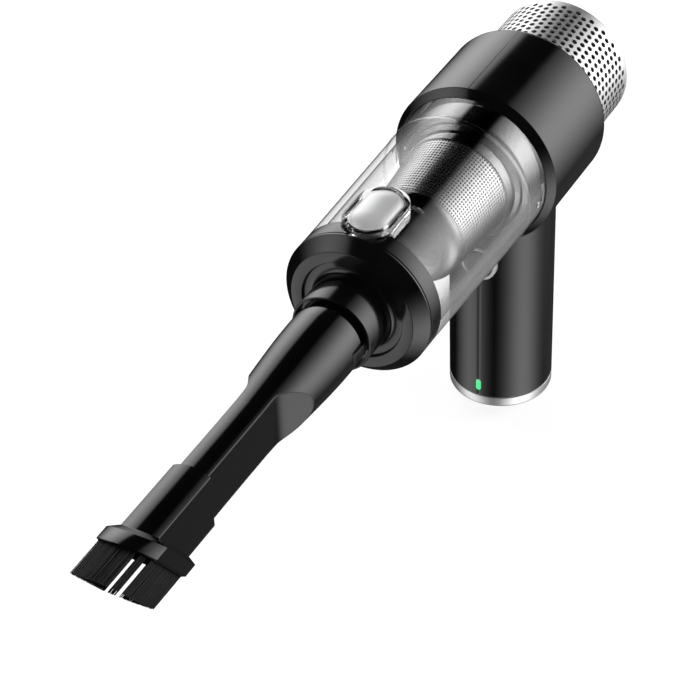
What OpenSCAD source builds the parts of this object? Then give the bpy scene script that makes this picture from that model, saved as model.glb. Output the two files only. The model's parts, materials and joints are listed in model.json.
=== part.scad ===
// Cordless car vacuum cleaner: round grip, motor housing, clear dust cup, crevice nozzle and brush.
// Origin at the centre of the grip's foot, +Z up along the grip, nose towards -Y, +X to the right.
// Along the body, s is the distance in front of the grip's axis, so y = -s.

/* [Grip] */
// Outer diameter of the round grip
grip_d = 43; // [43:0.5:46]
// Wall of the two grip shells
grip_wall = 2.2; // [1.8:0.1:2.2]
// Height of the body's axis above the foot
axis_h = 124; // [122:1:130]
// Height of the polished ring at the foot
foot_ring_h = 5.3; // [4.8:0.1:5.6]
// Height of the power button's centre
button_z = 74; // [72:1:76]
// Diameter of the power button
button_d = 12; // [10:0.5:13]
// Travel of the power button
button_travel = 1.2; // [0.8:0.1:1.2]
// Height of the charge light's centre
led_z = 10.6; // [10.4:0.1:12]
// Height of the charge inlet's centre
inlet_z = 20; // [18:1:24]

/* [Motor housing] */
// Outer diameter of the motor housing
housing_d = 69; // [69:0.5:72]
// Wall of the motor housing
housing_wall = 2.5; // [2:0.1:2.6]
// Where the housing's front bevel starts
housing_front = 25.5; // [25:0.5:26]
// How far the housing reaches behind the grip's axis
housing_rear = 22; // [22:0.5:24]
// Radius of the housing's rear edge
housing_fillet = 6; // [5:0.5:6]
// Outer diameter of the perforated exhaust drum
drum_d = 57; // [55:0.5:57]
// How far the exhaust drum reaches behind the grip's axis
drum_end = 57; // [55:0.5:58]
// Rows of holes along the exhaust drum
drum_rows = 6; // [4:1:6]
// Holes around the exhaust drum
drum_cols = 32; // [24:2:32]
// Diameter of one drum hole
drum_hole_d = 3; // [2:0.1:3]

/* [Dust cup] */
// Outer diameter of the clear cup where it enters the housing
cup_d = 62; // [61:0.5:62]
// Outer diameter of the clear cup at its front edge
cup_front_d = 59; // [58.5:0.5:60]
// Wall of the clear cup
cup_wall = 2.5; // [2:0.1:2.5]
// Where the clear cup ends in front
cup_front = 111; // [109:1:112]
// Width of the release button
release_w = 15; // [13:0.5:16]
// Length of the release button
release_l = 25; // [22:0.5:26]
// Travel of the release button
release_travel = 1.5; // [1:0.1:1.5]

/* [Filter] */
// Outer diameter of the filter's base
filter_d = 52; // [48:0.5:52]
// Where the filter's mesh starts
mesh_start = 43; // [41:1:44]
// Where the filter's mesh ends
mesh_end = 75; // [72:1:75]
// Where the filter's end cap ends
filter_end = 85; // [85:1:87]
// Pleats of the inner filter
pleats = 24; // [18:1:30]

/* [Nose and nozzle] */
// Where the nose's front face lies
nose_front = 126.5; // [126:0.5:128]
// Where the nose's round stub ends
stub_front = 142; // [141:0.5:143]
// Outer diameter of the stub's front rim
stub_d = 31.6; // [31:0.2:33]
// Outer diameter of the nozzle's round part
nozzle_d = 28; // [28:0.2:28.4]
// Outer height of the nozzle's flat part
nozzle_flat_h = 22.8; // [22:0.2:23]
// Outer width of the nozzle's flat part
nozzle_flat_w = 11.4; // [11:0.2:11.6]
// Wall of the nozzle
nozzle_wall = 1.3; // [1:0.1:1.4]
// Slant of the nozzle's mouth and of the brush
mouth_slant = 36; // [30:1:40]

/* [Brush] */
// Where the brush's sleeve starts
sleeve_rear = 236; // [235:1:240]
// Where the brush's collar ends, on the nozzle's axis
collar_front = 270; // [268:1:272]
// Width of the brush's collar
collar_w = 24; // [23:0.5:25]
// Height of the brush's collar
collar_h = 27.4; // [27:0.2:28]
// Length of the bristles
bristle_l = 16.5; // [14:0.5:18]

/* [Hidden] */
$fn = 64;
// Clearance between pieces that move past each other
gap = 0.3;
// Clearance between a pin and its hole
fit = 0.05;
// Hairline between pieces that sit tight in each other
press = 0.02;
// How far a cut runs past the face that it opens
over = 1;

grip_r = grip_d / 2;
grip_in = grip_r - grip_wall;
foot_r = grip_r - 1.2;
foot_in = 17.5;
foot_lip = 1.9;
cell_d = 18.4;
cell_l = 65;
cell_x = cell_d / 2 + 0.1;
cell_z = 13;
cell_top = cell_z + cell_l;
pad_t = 1.5;
plate_t = 2.5;
plate_top = pad_t + plate_t;
screw_x = 12;
screw_r = 1.25;
screw_head_r = 2.6;
screw_head_h = 1.2;
screw_l = 9;
holder_h = 3;
holder_gap = 0.5;
board_y = -14.5;
board_t = 1.6;
board_w = 22;
board_z = 9;
board_h = 70;
bezel_w = 1.4;
bezel_back = 18.4;
bezel_proud = 1.1;
button_back = 18.5;
button_proud = 2.2;
plunger_tip = button_back - button_travel - gap;
led_w = 2.2;
led_h = 5.4;
inlet_w = 8.9;
inlet_h = 3.2;
inlet_y = 12.7;
socket_z = 84;
wire_r = 1;
wire_sides = 8;
wire_hole_r = 6;
wire_hole_y = 5;

housing_r = housing_d / 2;
housing_in = housing_r - housing_wall;
bevel = 3.1;
housing_lip = housing_front + bevel;
cup_r = cup_d / 2;
cup_bore = cup_r + gap;
cup_rear = 13;
cup_seat = 12;
shoulder = 9;
drum_r = drum_d / 2;
drum_t = 0.8;
drum_seat = 15;
drum_edge = 2.8;
drum_rim = 3.2;

motor_r = 17.5;
motor_rear = -30;
motor_front = 4;
can_t = 1.2;
end_plate_t = 2;
rear_boss_r = 4;
front_boss_r = 4.5;
bearing_l = 3;
foam_gap = 3;
shaft_r = 1.6;
magnet_r = 14;
core_r = 13.4;
core_rear = -24;
core_front = -4;
mount_t = 3.5;
rear_frame_s = -14;
rear_frame_t = 6;
damper_r = 20.5;
vent_r = 4.5;
vent_at = 26.2;
vent_n = 8;
shroud_r = 27.7;
shroud_t = 1.5;
shroud_front = 18.5;
eye_r = 9;
fan_r = 25;
fan_rear = 9.5;
fan_front = 15.5;
blades = 9;

cup_front_r = cup_front_d / 2;
bead_s = 37;
bead_r = 0.8;
lug_s = 30;
bezel_gap = 2.5;
release_s = 106;
release_top = 33.5;
bezel_top = 31.2;
bezel_floor = 28;
bezel_root = 20;
cup_front_in = cup_front_r - cup_wall;
hinge_drop = 2.4;
knuckle_r = 2;
knuckle_w = 4;
knuckle_end = 5;
hinge_pin_r = 0.8;
hinge_z = axis_h - cup_front_r - hinge_drop;

filter_r = filter_d / 2;
seal_w = 4;
seal_rear = shroud_front + gap + 2 * fit;
seal_front = seal_rear + 1.4;
filter_floor = seal_front + 2;
base_step = 34;
neck_r = 22.5;
mesh_r0 = 22;
mesh_r1 = 19.5;
mesh_t = 0.6;
pleat_r = 17;
pleat_depth = 3.5;

nose_r = cup_front_r;
nose_in = 25.4;
nose_rear = cup_front + gap;
nose_band = 121;
nose_face_r = 24.5;
nose_wall = 3;
stub_r = stub_d / 2;
stub_base_r = 20;
stub_flare = 4.2;
spigot_r = 12.8;
spigot_bore = 11.1;
spigot_rear = 121;
tube_r = 14.5;
tube_bore = 11.4;
tube_rear = cup_front + 0.5;
flap_r = 13;
flap_t = 1.5;
flap_front = tube_rear - 0.4;
flap_pin_r = 0.7;
flap_barrel_r = 1.5;
flap_pin_y = tube_r + flap_barrel_r + gap;
flap_half = 5;
ear_t = 2;

nozzle_r = nozzle_d / 2;
crown_r = nozzle_flat_h / 2;
flat_x = nozzle_flat_w / 2;
nozzle_rear = stub_front + 0.5;
taper_start = 150;
taper_end = 210;
ramp_start = 175;
ramp_end = 190;
mouth_s = collar_front - 1.2;
nozzle_reach = 300;
tab_w = 6;
tab_l = 7;
tab_t = 1.2;
tab_gap = 1.5;

sleeve_wall = 1.2;
collar_t = 5.5;
collar_bevel = 3.6;
collar_round = 15.6;
backing_t = 1.2;
strand_r = 0.2;
row_cols = 4;
row_count = 28;
row_x = 7.7;
row_pitch_x = 0.9;
row_half_z = 8.4;
end_cols = 11;
end_half_x = 4.4;
end_z = 12.35;
end_pitch_z = 0.65;
corner_x = 6;
corner_z = 10.7;
corner_pitch = 0.62;
corner_n = 3;

// Points of an arc round a centre, from one angle to another
function arc(centre, r, from, to, steps = 8) =
  [for (i = [0 : steps]) let (a = from + (to - from) * i / steps) centre + r * [cos(a), sin(a)]];

// Outer radius of the clear cup at a place along the body
function cup_at(s) = cup_r - (cup_r - cup_front_r) * max(0, s - housing_lip) / (cup_front - housing_lip);

// Places what is drawn along +Z onto the body's axis, pointing forward
module along(s = 0) {
  translate([0, -s, axis_h]) rotate([90, 0, 0]) children();
}

// A turned piece on the body's axis, from points of radius and place
module turned(points) {
  along() rotate_extrude($fn = 96) polygon(points);
}

// A plain ring on the body's axis
module ring(r_out, r_in, from, to) {
  turned([[r_in, from], [r_out, from], [r_out, to], [r_in, to]]);
}

// A flat oblong with round ends, long along Y
module oblong(w, l, h) {
  linear_extrude(h) {
    square([w, l - w], center = true);
    for (side = [-1, 1]) translate([0, side * (l - w) / 2]) circle(d = w);
  }
}

// Round vent holes in a frame of the housing
module vents(from, t) {
  for (i = [0 : vent_n - 1])
    along(from - over) rotate(i * 360 / vent_n) translate([vent_at, 0, 0])
      cylinder(r = vent_r, h = t + 2 * over);
}

// Heading of a route at one of its points
function unit(v) = v / norm(v);
function heading(route, i) = unit(
  (i > 0 ? unit(route[i] - route[i - 1]) : [0, 0, 0])
  + (i < len(route) - 1 ? unit(route[i + 1] - route[i]) : [0, 0, 0])
);

// Ring of points round a route, square to its heading
function wire_ring(route, i) =
  let (ahead = heading(route, i), up = unit(cross([1, 0, 0], ahead)), across = cross(ahead, up))
  [for (k = [0 : wire_sides - 1])
    route[i] + wire_r * (cos(360 * k / wire_sides) * up + sin(360 * k / wire_sides) * across)];

// A wire swept along a route
module wire(route) {
  last = len(route) - 1;
  m = wire_sides;
  walls = [for (i = [0 : last - 1], k = [0 : m - 1])
    let (a = i * m + k, b = i * m + (k + 1) % m) each [[a, a + m, b + m], [a, b + m, b]]];
  ends = [[for (k = [0 : m - 1]) k], [for (k = [m - 1 : -1 : 0]) last * m + k]];
  polyhedron([for (i = [0 : last]) each wire_ring(route, i)], concat(walls, ends));
}

// Motor housing: one barrel with a socket for the grip
module housing_shell() {
  color("#1c1d1f") difference() {
    union() {
      turned(concat(
        [[drum_r + fit, -housing_rear + housing_wall], [drum_r + fit, -housing_rear]],
        arc([housing_r - housing_fillet, housing_fillet - housing_rear], housing_fillet, -90, 0),
        [
          [housing_r, housing_front], [cup_bore, housing_lip], [cup_bore, cup_seat], [shroud_r + gap, cup_seat],
          [shroud_r + gap, shoulder], [housing_in, shoulder], [housing_in, housing_fillet - housing_rear],
          [housing_r - housing_fillet, housing_wall - housing_rear]
        ]
      ));
      grip_socket();
    }
    translate([0, wire_hole_y, socket_z]) cylinder(r = wire_hole_r, h = axis_h / 4);
  }
}

// Tube under the barrel that the grip shells close round
module grip_socket() {
  difference() {
    translate([0, 0, socket_z]) cylinder(r = grip_in - 2 * fit, h = axis_h - socket_z - housing_in / 2);
    translate([0, 0, socket_z - over]) cylinder(r = grip_in - grip_wall, h = axis_h);
    along(-housing_r) cylinder(r = housing_in + housing_wall / 2, h = housing_d);
  }
}

// Perforated metal drum that the air leaves through
module exhaust_drum() {
  rows_from = -housing_rear - drum_rim;
  rows_to = -drum_end + drum_edge + drum_rim;
  color("#c9cbce") difference() {
    turned(concat(
      [[0, -drum_end], [drum_r - drum_edge, -drum_end]],
      arc([drum_r - drum_edge, drum_edge - drum_end], drum_edge, -90, 0, 5),
      [[drum_r, -drum_seat], [drum_r - drum_t, -drum_seat]],
      arc([drum_r - drum_edge, drum_edge - drum_end], drum_edge - drum_t, 0, -90, 5),
      [[0, drum_t - drum_end]]
    ));
    for (row = [0 : drum_rows - 1])
      for (col = [0 : drum_cols - 1])
        along(rows_from + (rows_to - rows_from) * row / (drum_rows - 1))
          rotate((col + (row % 2) / 2) * 360 / drum_cols)
            translate([drum_r - 2 * drum_t, 0, 0]) rotate([0, 90, 0])
              cylinder(d = drum_hole_d, h = 4 * drum_t, $fn = 16);
  }
}

// Foam disc behind the motor
module exhaust_foam() {
  color("#2b2b2b") ring(drum_r - drum_t - gap, shaft_r * 3, drum_edge - drum_end, motor_rear - foam_gap);
}

// Soft ring that the clear cup's rear edge closes on
module housing_seal() {
  color("#3a3a3a") ring(cup_bore - 2 * fit, cup_r - cup_wall + 2 * fit, cup_seat, cup_rear - gap);
}

// Spoked frame round the motor's rear
module rear_frame() {
  color("#303236") difference() {
    ring(housing_in - fit, damper_r + press, rear_frame_s, rear_frame_s + rear_frame_t);
    vents(rear_frame_s, rear_frame_t);
  }
}

// Rubber ring between the motor and its rear frame
module motor_damper() {
  color("#222222") ring(damper_r, motor_r + press, rear_frame_s, rear_frame_s + rear_frame_t);
}

// Plate that carries the motor's front
module motor_mount() {
  color("#303236") difference() {
    ring(housing_in - fit, shaft_r * 4, motor_front, motor_front + mount_t);
    vents(motor_front, mount_t);
  }
}

// Steel can of the motor
module motor_can() {
  color("#a9adb2") turned([
    [rear_boss_r, motor_rear], [motor_r, motor_rear], [motor_r, motor_front - end_plate_t],
    [motor_r - can_t, motor_front - end_plate_t], [motor_r - can_t, motor_rear + can_t],
    [rear_boss_r, motor_rear + can_t]
  ]);
}

// Two magnet shells inside the can
module motor_magnets() {
  apart = 6;
  color("#55585c") difference() {
    ring(motor_r - can_t - press, magnet_r, core_rear, core_front);
    along(core_rear - over) translate([-motor_r, -apart / 2, 0])
      cube([2 * motor_r, apart, core_front - core_rear + 2 * over]);
  }
}

// Front plate of the motor
module motor_end_plate() {
  color("#8e9297") ring(motor_r, front_boss_r + press, motor_front - end_plate_t, motor_front);
}

module front_bearing() {
  color("#d0d2d4") ring(front_boss_r, shaft_r + fit, motor_front - bearing_l, motor_front);
}

module rear_bearing() {
  color("#d0d2d4") ring(rear_boss_r - press, shaft_r + fit, motor_rear, motor_rear + bearing_l);
}

// Cover round the fan wheel, with the air's way in at its centre
module fan_shroud() {
  mount_front = motor_front + mount_t;
  color("#2c2e31") turned([
    [shroud_r, mount_front], [shroud_r, shroud_front], [eye_r, shroud_front], [eye_r, shroud_front - shroud_t],
    [shroud_r - shroud_t, shroud_front - shroud_t], [shroud_r - shroud_t, mount_front]
  ]);
}

module motor_shaft() {
  color("#dcdcdc") along(motor_rear - over) cylinder(r = shaft_r, h = fan_front - motor_rear + 2 * over);
}

// Slotted iron core of the rotor
module rotor_core() {
  slots = 5;
  slot_w = 2;
  color("#77706a") difference() {
    ring(core_r, shaft_r + press, core_rear, core_front);
    for (i = [0 : slots - 1])
      along(core_rear - over) rotate(i * 360 / slots) translate([core_r / 2, -slot_w / 2, 0])
        cube([core_r, slot_w, core_front - core_rear + 2 * over]);
  }
}

module commutator() {
  length = 2.5;
  color("#b9713c") ring(rear_boss_r, shaft_r + press, core_rear - 2 * fit - length, core_rear - 2 * fit);
}

// Fan wheel: a disc with a hub and straight blades
module fan_wheel() {
  hub_r = 5;
  disc_t = 1.2;
  blade_t = 1;
  color("#3c4046") difference() {
    union() {
      ring(fan_r, shaft_r, fan_rear, fan_rear + disc_t);
      ring(hub_r, shaft_r, fan_rear, fan_front);
      for (i = [0 : blades - 1])
        along(fan_rear) rotate(i * 360 / blades) translate([hub_r - over, -blade_t / 2, disc_t / 2])
          cube([fan_r - hub_r, blade_t, fan_front - fan_rear - disc_t / 2]);
    }
    along(fan_rear - over) cylinder(r = shaft_r + press, h = fan_front - fan_rear + 2 * over);
  }
}

// The grip as one tube, before it is parted into its two shells
module grip_tube() {
  difference() {
    translate([0, 0, foot_ring_h]) cylinder(r = grip_r, h = axis_h - foot_ring_h);
    translate([0, 0, foot_ring_h - over]) cylinder(r = grip_in, h = axis_h);
    along(-housing_d) cylinder(r = housing_r + press, h = 2 * housing_d);
    translate([0, 0, button_z]) rotate([90, 0, 0])
      cylinder(r = button_d / 2 + gap + bezel_w + press, h = grip_d);
    translate([0, -grip_r, led_z]) rotate([90, 0, 0]) translate([0, 0, -grip_r / 2])
      oblong(led_w + 2 * press, led_h + 2 * press, grip_r);
    translate([0, grip_r, inlet_z]) rotate([0, 90, 90]) translate([0, 0, -grip_r / 2])
      oblong(inlet_h + 2 * gap, inlet_w + 2 * gap, grip_r);
  }
}

// One shell of the grip, on the side given
module grip_shell(side) {
  color("#1c1d1f") intersection() {
    grip_tube();
    translate([side > 0 ? press / 2 : -grip_d - press / 2, -grip_d, 0]) cube([grip_d, 2 * grip_d, 2 * axis_h]);
  }
}

module grip_left() {
  grip_shell(-1);
}

module grip_right() {
  grip_shell(1);
}

// Polished ring at the foot, with a lip inside the grip shells
module foot_ring() {
  color("#d5d7da") rotate_extrude($fn = 96) polygon(concat(
    [[foot_in, 0], [foot_r, 0]],
    arc([foot_r, grip_r - foot_r], grip_r - foot_r, -90, 0, 5),
    [
      [grip_r, foot_ring_h], [grip_in - fit, foot_ring_h], [grip_in - fit, foot_ring_h + foot_lip],
      [foot_in, foot_ring_h + foot_lip]
    ]
  ));
}

// Plate that closes the foot
module foot_plate() {
  color("#232427") difference() {
    translate([0, 0, pad_t]) cylinder(r = foot_in - fit, h = plate_t);
    for (side = [-1, 1]) translate([side * screw_x, 0, 0]) {
      cylinder(r = screw_r + 3 * fit, h = plate_top + over);
      cylinder(r = screw_head_r + 4 * fit, h = pad_t + screw_head_h + 2 * fit);
    }
  }
}

// Rubber pad under the foot
module foot_pad() {
  color("#18181a") difference() {
    cylinder(r = foot_in - 4 * fit, h = pad_t);
    for (side = [-1, 1]) translate([side * screw_x, 0, -over])
      cylinder(r = screw_head_r + 4 * fit, h = pad_t + 2 * over);
  }
}

// Two screws that hold the foot plate to the lower cell holder
module foot_screws() {
  recess = [3.2, 0.7, 0.8];
  color("#b8bbc0") for (side = [-1, 1]) translate([side * screw_x, 0, pad_t + 2 * fit]) difference() {
    union() {
      cylinder(r = screw_head_r, h = screw_head_h);
      cylinder(r = screw_r, h = screw_l);
    }
    for (turn = [0, 90]) rotate(turn) translate([-recess.x / 2, -recess.y / 2, -over])
      cube([recess.x, recess.y, recess.z + over]);
  }
}

// Two battery cells side by side
module battery_cells() {
  color("#2f7d8c") for (side = [-1, 1]) translate([side * cell_x, 0, cell_z]) {
    cylinder(d = cell_d, h = cell_l - over);
    cylinder(d = cell_d / 3, h = cell_l);
  }
}

// Plate across the grip that keeps the cells in place
module holder_plate(z) {
  intersection() {
    translate([0, 0, z]) cylinder(r = foot_in - gap, h = holder_h);
    translate([-grip_d, -cell_d / 2, z]) cube([2 * grip_d, cell_d, holder_h]);
  }
}

module cell_holder_lower() {
  boss_r = 3.2;
  color("#e2e0d8") difference() {
    union() {
      holder_plate(cell_z - holder_h - holder_gap);
      for (side = [-1, 1]) translate([side * screw_x, 0, plate_top])
        cylinder(r = boss_r, h = cell_z - holder_h - plate_top);
    }
    for (side = [-1, 1]) translate([side * screw_x, 0, plate_top - over])
      cylinder(r = screw_r + fit, h = screw_l - over);
  }
}

module cell_holder_upper() {
  color("#e2e0d8") difference() {
    holder_plate(cell_top + holder_gap);
    translate([0, 0, cell_top]) cylinder(r = wire_r * 2, h = 2 * holder_h);
  }
}

// Metal straps that join the cells at both ends
module cell_straps() {
  strap = [2 * cell_x + 8, 7, 0.3];
  color("#c3c5c8") for (z = [cell_z - strap.z - 2 * fit, cell_top + 2 * fit])
    translate([-strap.x / 2, -strap.y / 2, z]) cube(strap);
}

// Circuit board behind the grip's front wall, with its larger parts
module control_board() {
  chip = [6, 1.4, 7];
  coil = [5, 1.8, 9];
  coil_x = 5.5;
  coil_z = 62;
  color("#1f5a38") union() {
    translate([-board_w / 2, board_y, board_z]) cube([board_w, board_t, board_h]);
    for (z = [24, 36, 50]) translate([-chip.x / 2, board_y + board_t, z]) cube(chip);
    for (side = [-1, 1]) translate([side * coil_x - coil.x / 2, board_y + board_t, coil_z]) cube(coil);
  }
}

// Push switch on the board, behind the power button
module power_switch() {
  body = [6, 2, 6];
  plunger_r = 1.7;
  color("#8c8f94") union() {
    translate([-body.x / 2, board_y - body.y, button_z - body.z / 2]) cube(body);
    translate([0, board_y, button_z]) rotate([90, 0, 0]) cylinder(r = plunger_r, h = plunger_tip + board_y);
  }
}

// Small board at the back that carries the charge inlet
module charge_board() {
  board = [18, 1.2, 18];
  color("#1f5a38") translate([-board.x / 2, inlet_y - board.y, inlet_z - board.z / 2]) cube(board);
}

// Metal shell of the charge inlet, with its tongue
module charge_inlet() {
  depth = 7.6;
  wall = 0.3;
  tongue_t = 0.7;
  color("#b7babf") translate([0, inlet_y, inlet_z]) rotate([0, 90, 90]) union() {
    difference() {
      oblong(inlet_h, inlet_w, depth);
      translate([0, 0, over]) oblong(inlet_h - 2 * wall, inlet_w - 2 * wall, depth);
    }
    translate([-tongue_t / 2, -inlet_w / 4, 0]) cube([tongue_t, inlet_w / 2, depth - over]);
  }
}

// Clear pipe that shows the charge light at the grip's front
module charge_light() {
  color("#35c46a") translate([0, 0, led_z]) rotate([90, 0, 0]) translate([0, 0, -board_y])
    intersection() {
      oblong(led_w, led_h, grip_r + board_y + over);
      translate([0, 0, board_y]) rotate([90, 0, 0])
        cylinder(r = grip_r + 2 * fit, h = led_h * 2, center = true);
    }
}

// Two leads from the board to the motor's rear
module motor_leads() {
  low = axis_h - vent_at;
  color("#b03030") for (side = [-1, 1]) wire([
    [side * 5, board_y + board_t + wire_r, board_z + board_h - 6],
    [side * 5, board_y + board_t + wire_r, socket_z + 2],
    [side * 2.2, wire_hole_y, socket_z + 4],
    [side * 2.2, wire_hole_y, low],
    [side * 2.2, -motor_rear - 2, low],
    [side * 6, 1.2 - motor_rear, low + 8],
    [side * 6, 1.2 - motor_rear, axis_h - 8]
  ]);
}

// Bright ring round the power button
module button_bezel() {
  r_in = button_d / 2 + gap;
  top = grip_r + bezel_proud;
  edge = 0.5;
  color("#c6c8cb") translate([0, 0, button_z]) rotate([90, 0, 0]) rotate_extrude($fn = 64) polygon([
    [r_in, bezel_back], [r_in + bezel_w, bezel_back], [r_in + bezel_w, top - edge],
    [r_in + bezel_w - edge, top], [r_in, top]
  ]);
}

// Round power button with a domed front
module power_button() {
  r = button_d / 2;
  front = grip_r + button_proud;
  edge_r = 1;
  edge_s = front - 1.2 * edge_r;
  color("#3a3c40") translate([0, 0, button_z]) rotate([90, 0, 0]) rotate_extrude($fn = 64) polygon(concat(
    [[0, button_back], [r, button_back]],
    arc([r - edge_r, edge_s], edge_r, 0, 70, 4),
    [[0, front]]
  ));
}

// Place of the release button, its bezel and their hollows, as an upright oblong
module release_place(grow, from, to) {
  translate([0, -release_s, axis_h + from])
    oblong(release_w + 2 * grow, release_l + 2 * grow, to - from);
}

// Knuckles of the nose's hinge under the front edge of the cup
module knuckle(from, to, s0, s1, reach) {
  difference() {
    union() {
      translate([from, -cup_front, hinge_z]) rotate([0, 90, 0]) cylinder(r = knuckle_r, h = to - from);
      translate([from, -s1, hinge_z]) cube([to - from, s1 - s0, reach]);
    }
    translate([from - over, -cup_front, hinge_z]) rotate([0, 90, 0])
      cylinder(r = hinge_pin_r + fit, h = to - from + 2 * over);
  }
}

// Clear dust cup with its bead, its twist lugs and its hinge knuckles
module dust_cup() {
  lip_in = cup_r - cup_wall;
  web_l = 5;
  color([0.85, 0.88, 0.9, 0.35]) difference() {
    union() {
      turned(concat(
        [[lip_in, cup_rear], [cup_r, cup_rear], [cup_r, housing_lip]],
        arc([cup_at(bead_s) - 2 * fit, bead_s], bead_r, -80, 80, 6),
        [[cup_front_r, cup_front], [cup_front_in, cup_front], [lip_in, housing_lip]]
      ));
      for (side = [-1, 1]) along(lug_s) twist_lug(side);
      for (side = [-1, 1])
        knuckle(side > 0 ? knuckle_w / 2 + gap : -knuckle_end, side > 0 ? knuckle_end : -knuckle_w / 2 - gap,
          cup_front - web_l, cup_front - 2 * fit, knuckle_r + hinge_drop);
    }
    release_place(bezel_gap + fit, bezel_root, cup_d);
  }
}

// Raised mark on the cup's side that shows how far it turns
module twist_lug(side) {
  stem = [2, 5];
  foot = [9, 1.6];
  proud = 0.4;
  intersection() {
    translate([side > 0 ? 0 : -cup_d, -foot.x / 2, 0]) union() {
      cube([cup_d, stem.x, stem.y]);
      cube([cup_d, foot.x, foot.y]);
    }
    difference() {
      cylinder(r = cup_r + proud, h = stem.y + over);
      translate([0, 0, -over]) cylinder(r = cup_r - over, h = stem.y + 3 * over);
    }
  }
}

// Clear frame round the release button
module release_bezel() {
  color([0.85, 0.88, 0.9, 0.35]) difference() {
    release_place(bezel_gap, bezel_root, bezel_top);
    release_place(gap, bezel_floor, bezel_top + over);
    along(cup_front - release_l) cylinder(r = cup_front_in, h = 2 * release_l);
  }
}

// Domed release button
module release_button() {
  dome_r = 38;
  color("#d8dadd") intersection() {
    release_place(0, bezel_floor + release_travel + gap, release_top + over);
    translate([0, -release_s, axis_h + release_top - dome_r]) sphere(r = dome_r, $fn = 96);
  }
}

// Steel pin of the nose's hinge
module hinge_pin() {
  color("#c0c3c7") translate([-knuckle_end, -cup_front, hinge_z]) rotate([0, 90, 0])
    cylinder(r = hinge_pin_r, h = 2 * knuckle_end);
}

// Filter base with a stepped neck and ribs along the mesh
module filter_frame() {
  wall = 1.8;
  base_wall = 2.8;
  slope = 3;
  ribs = 4;
  rib = [1.5, 2];
  rib_foot = 2.5;
  color("#c9ccd0") union() {
    turned([
      [filter_r - seal_w, seal_front], [filter_r, seal_front], [filter_r, base_step],
      [neck_r, base_step + slope], [neck_r, mesh_start], [neck_r - wall, mesh_start],
      [neck_r - wall, base_step + slope - wall],
      [filter_r - base_wall, base_step - wall], [filter_r - base_wall, filter_floor],
      [filter_r - seal_w, filter_floor]
    ]);
    for (i = [0 : ribs - 1])
      along(mesh_start - slope) rotate(45 + i * 360 / ribs) translate([pleat_r + gap, -rib.y / 2, 0]) {
        cube([rib.x, rib.y, mesh_end - mesh_start + slope]);
        cube([neck_r - wall / 2 - pleat_r, rib.y, rib_foot]);
      }
  }
}

// Fine steel mesh cone
module filter_mesh() {
  color("#9b9ea2") turned([
    [mesh_r0 - mesh_t, mesh_start], [mesh_r0, mesh_start], [mesh_r1, mesh_end], [mesh_r1 - mesh_t, mesh_end]
  ]);
}

// Pleated paper filter inside the mesh
module filter_pleats() {
  step = 180 / pleats;
  length = mesh_end - filter_floor - gap;
  closed_end = 4;
  outline = [for (i = [0 : 2 * pleats - 1])
    (pleat_r - (i % 2) * pleat_depth) * [cos(i * step), sin(i * step)]];
  color("#efece2") along(filter_floor) difference() {
    linear_extrude(length) polygon(outline);
    translate([0, 0, -over]) cylinder(r = pleat_r - pleat_depth - 2, h = length - closed_end);
  }
}

// Rounded end cap of the filter, with a grip tab
module filter_cap() {
  round_r = 7;
  tab = [12, 2.4, 2];
  tab_turn = -35;
  top = filter_end - tab.z;
  color("#b9bcc0") union() {
    turned(concat(
      [[0, mesh_end], [mesh_r1, mesh_end]],
      arc([mesh_r1 - round_r, top - round_r], round_r, 0, 90, 6),
      [[0, top]]
    ));
    along(top - over) rotate(tab_turn) translate([-tab.x / 2, -tab.y / 2, 0])
      cube([tab.x, tab.y, tab.z + over]);
  }
}

// Soft ring between the filter and the fan's cover
module filter_seal() {
  color("#2a2a2c") ring(filter_r - gap, filter_r - seal_w, seal_rear, seal_front);
}

// Nose: a lid with two bands, a flared stub and the inlet tube behind it
module nose_cap() {
  groove = 0.4;
  edge = 0.6;
  front_in = nose_front - nose_wall;
  color("#141517") difference() {
    union() {
      turned(concat(
        [
          [nose_in, nose_rear], [nose_r, nose_rear], [nose_r, nose_band - groove],
          [nose_r - groove, nose_band - groove], [nose_r - groove, nose_band], [nose_r, nose_band],
          [nose_r, nose_band + edge], [nose_face_r + edge, nose_front - edge / 2], [nose_face_r, nose_front],
          [stub_base_r, nose_front]
        ],
        arc([stub_base_r, nose_front + stub_flare], stub_flare, -90, -165, 5),
        [
          [stub_r, stub_front - edge], [stub_r - edge, stub_front], [spigot_r + fit, stub_front],
          [spigot_r + fit, spigot_rear - gap], [tube_bore, spigot_rear - gap], [tube_bore, tube_rear],
          [tube_r, tube_rear], [tube_r, front_in], [nose_face_r - nose_wall, front_in],
          [nose_in, nose_band]
        ]
      ));
      knuckle(-knuckle_w / 2, knuckle_w / 2, nose_rear + gap, nose_rear + nose_wall, knuckle_r + hinge_drop);
      flap_ears();
    }
    difference() {
      release_place(bezel_gap + gap, bezel_root, cup_d);
      along(cup_front - release_l) cylinder(r = cup_front_in - gap, h = 2 * release_l);
    }
  }
}

// Ears above the inlet tube that hold the flap's pin
module flap_ears() {
  ear_from = flap_half + gap;
  ear_half = 3;
  ear_top = flap_pin_y + 2;
  ear_low = tube_r - gap;
  root = tube_r - ear_half;
  back = tube_rear - flap_front + ear_half;
  difference() {
    for (side = [-1, 1])
      along(flap_front - ear_half) translate([side > 0 ? ear_from : -ear_from - ear_t, 0, 0]) {
        translate([0, ear_low, 0]) cube([ear_t, ear_top - ear_low, back + ear_half]);
        translate([0, root, back]) cube([ear_t, ear_top - root, ear_half]);
      }
    flap_axis(-ear_from - ear_t - over, ear_from + ear_t + over, flap_pin_r + press);
  }
}

// A round bar along the flap's axis
module flap_axis(from, to, r) {
  translate([from, flap_t / 2 - flap_front, axis_h + flap_pin_y]) rotate([0, 90, 0])
    cylinder(r = r, h = to - from);
}

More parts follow.
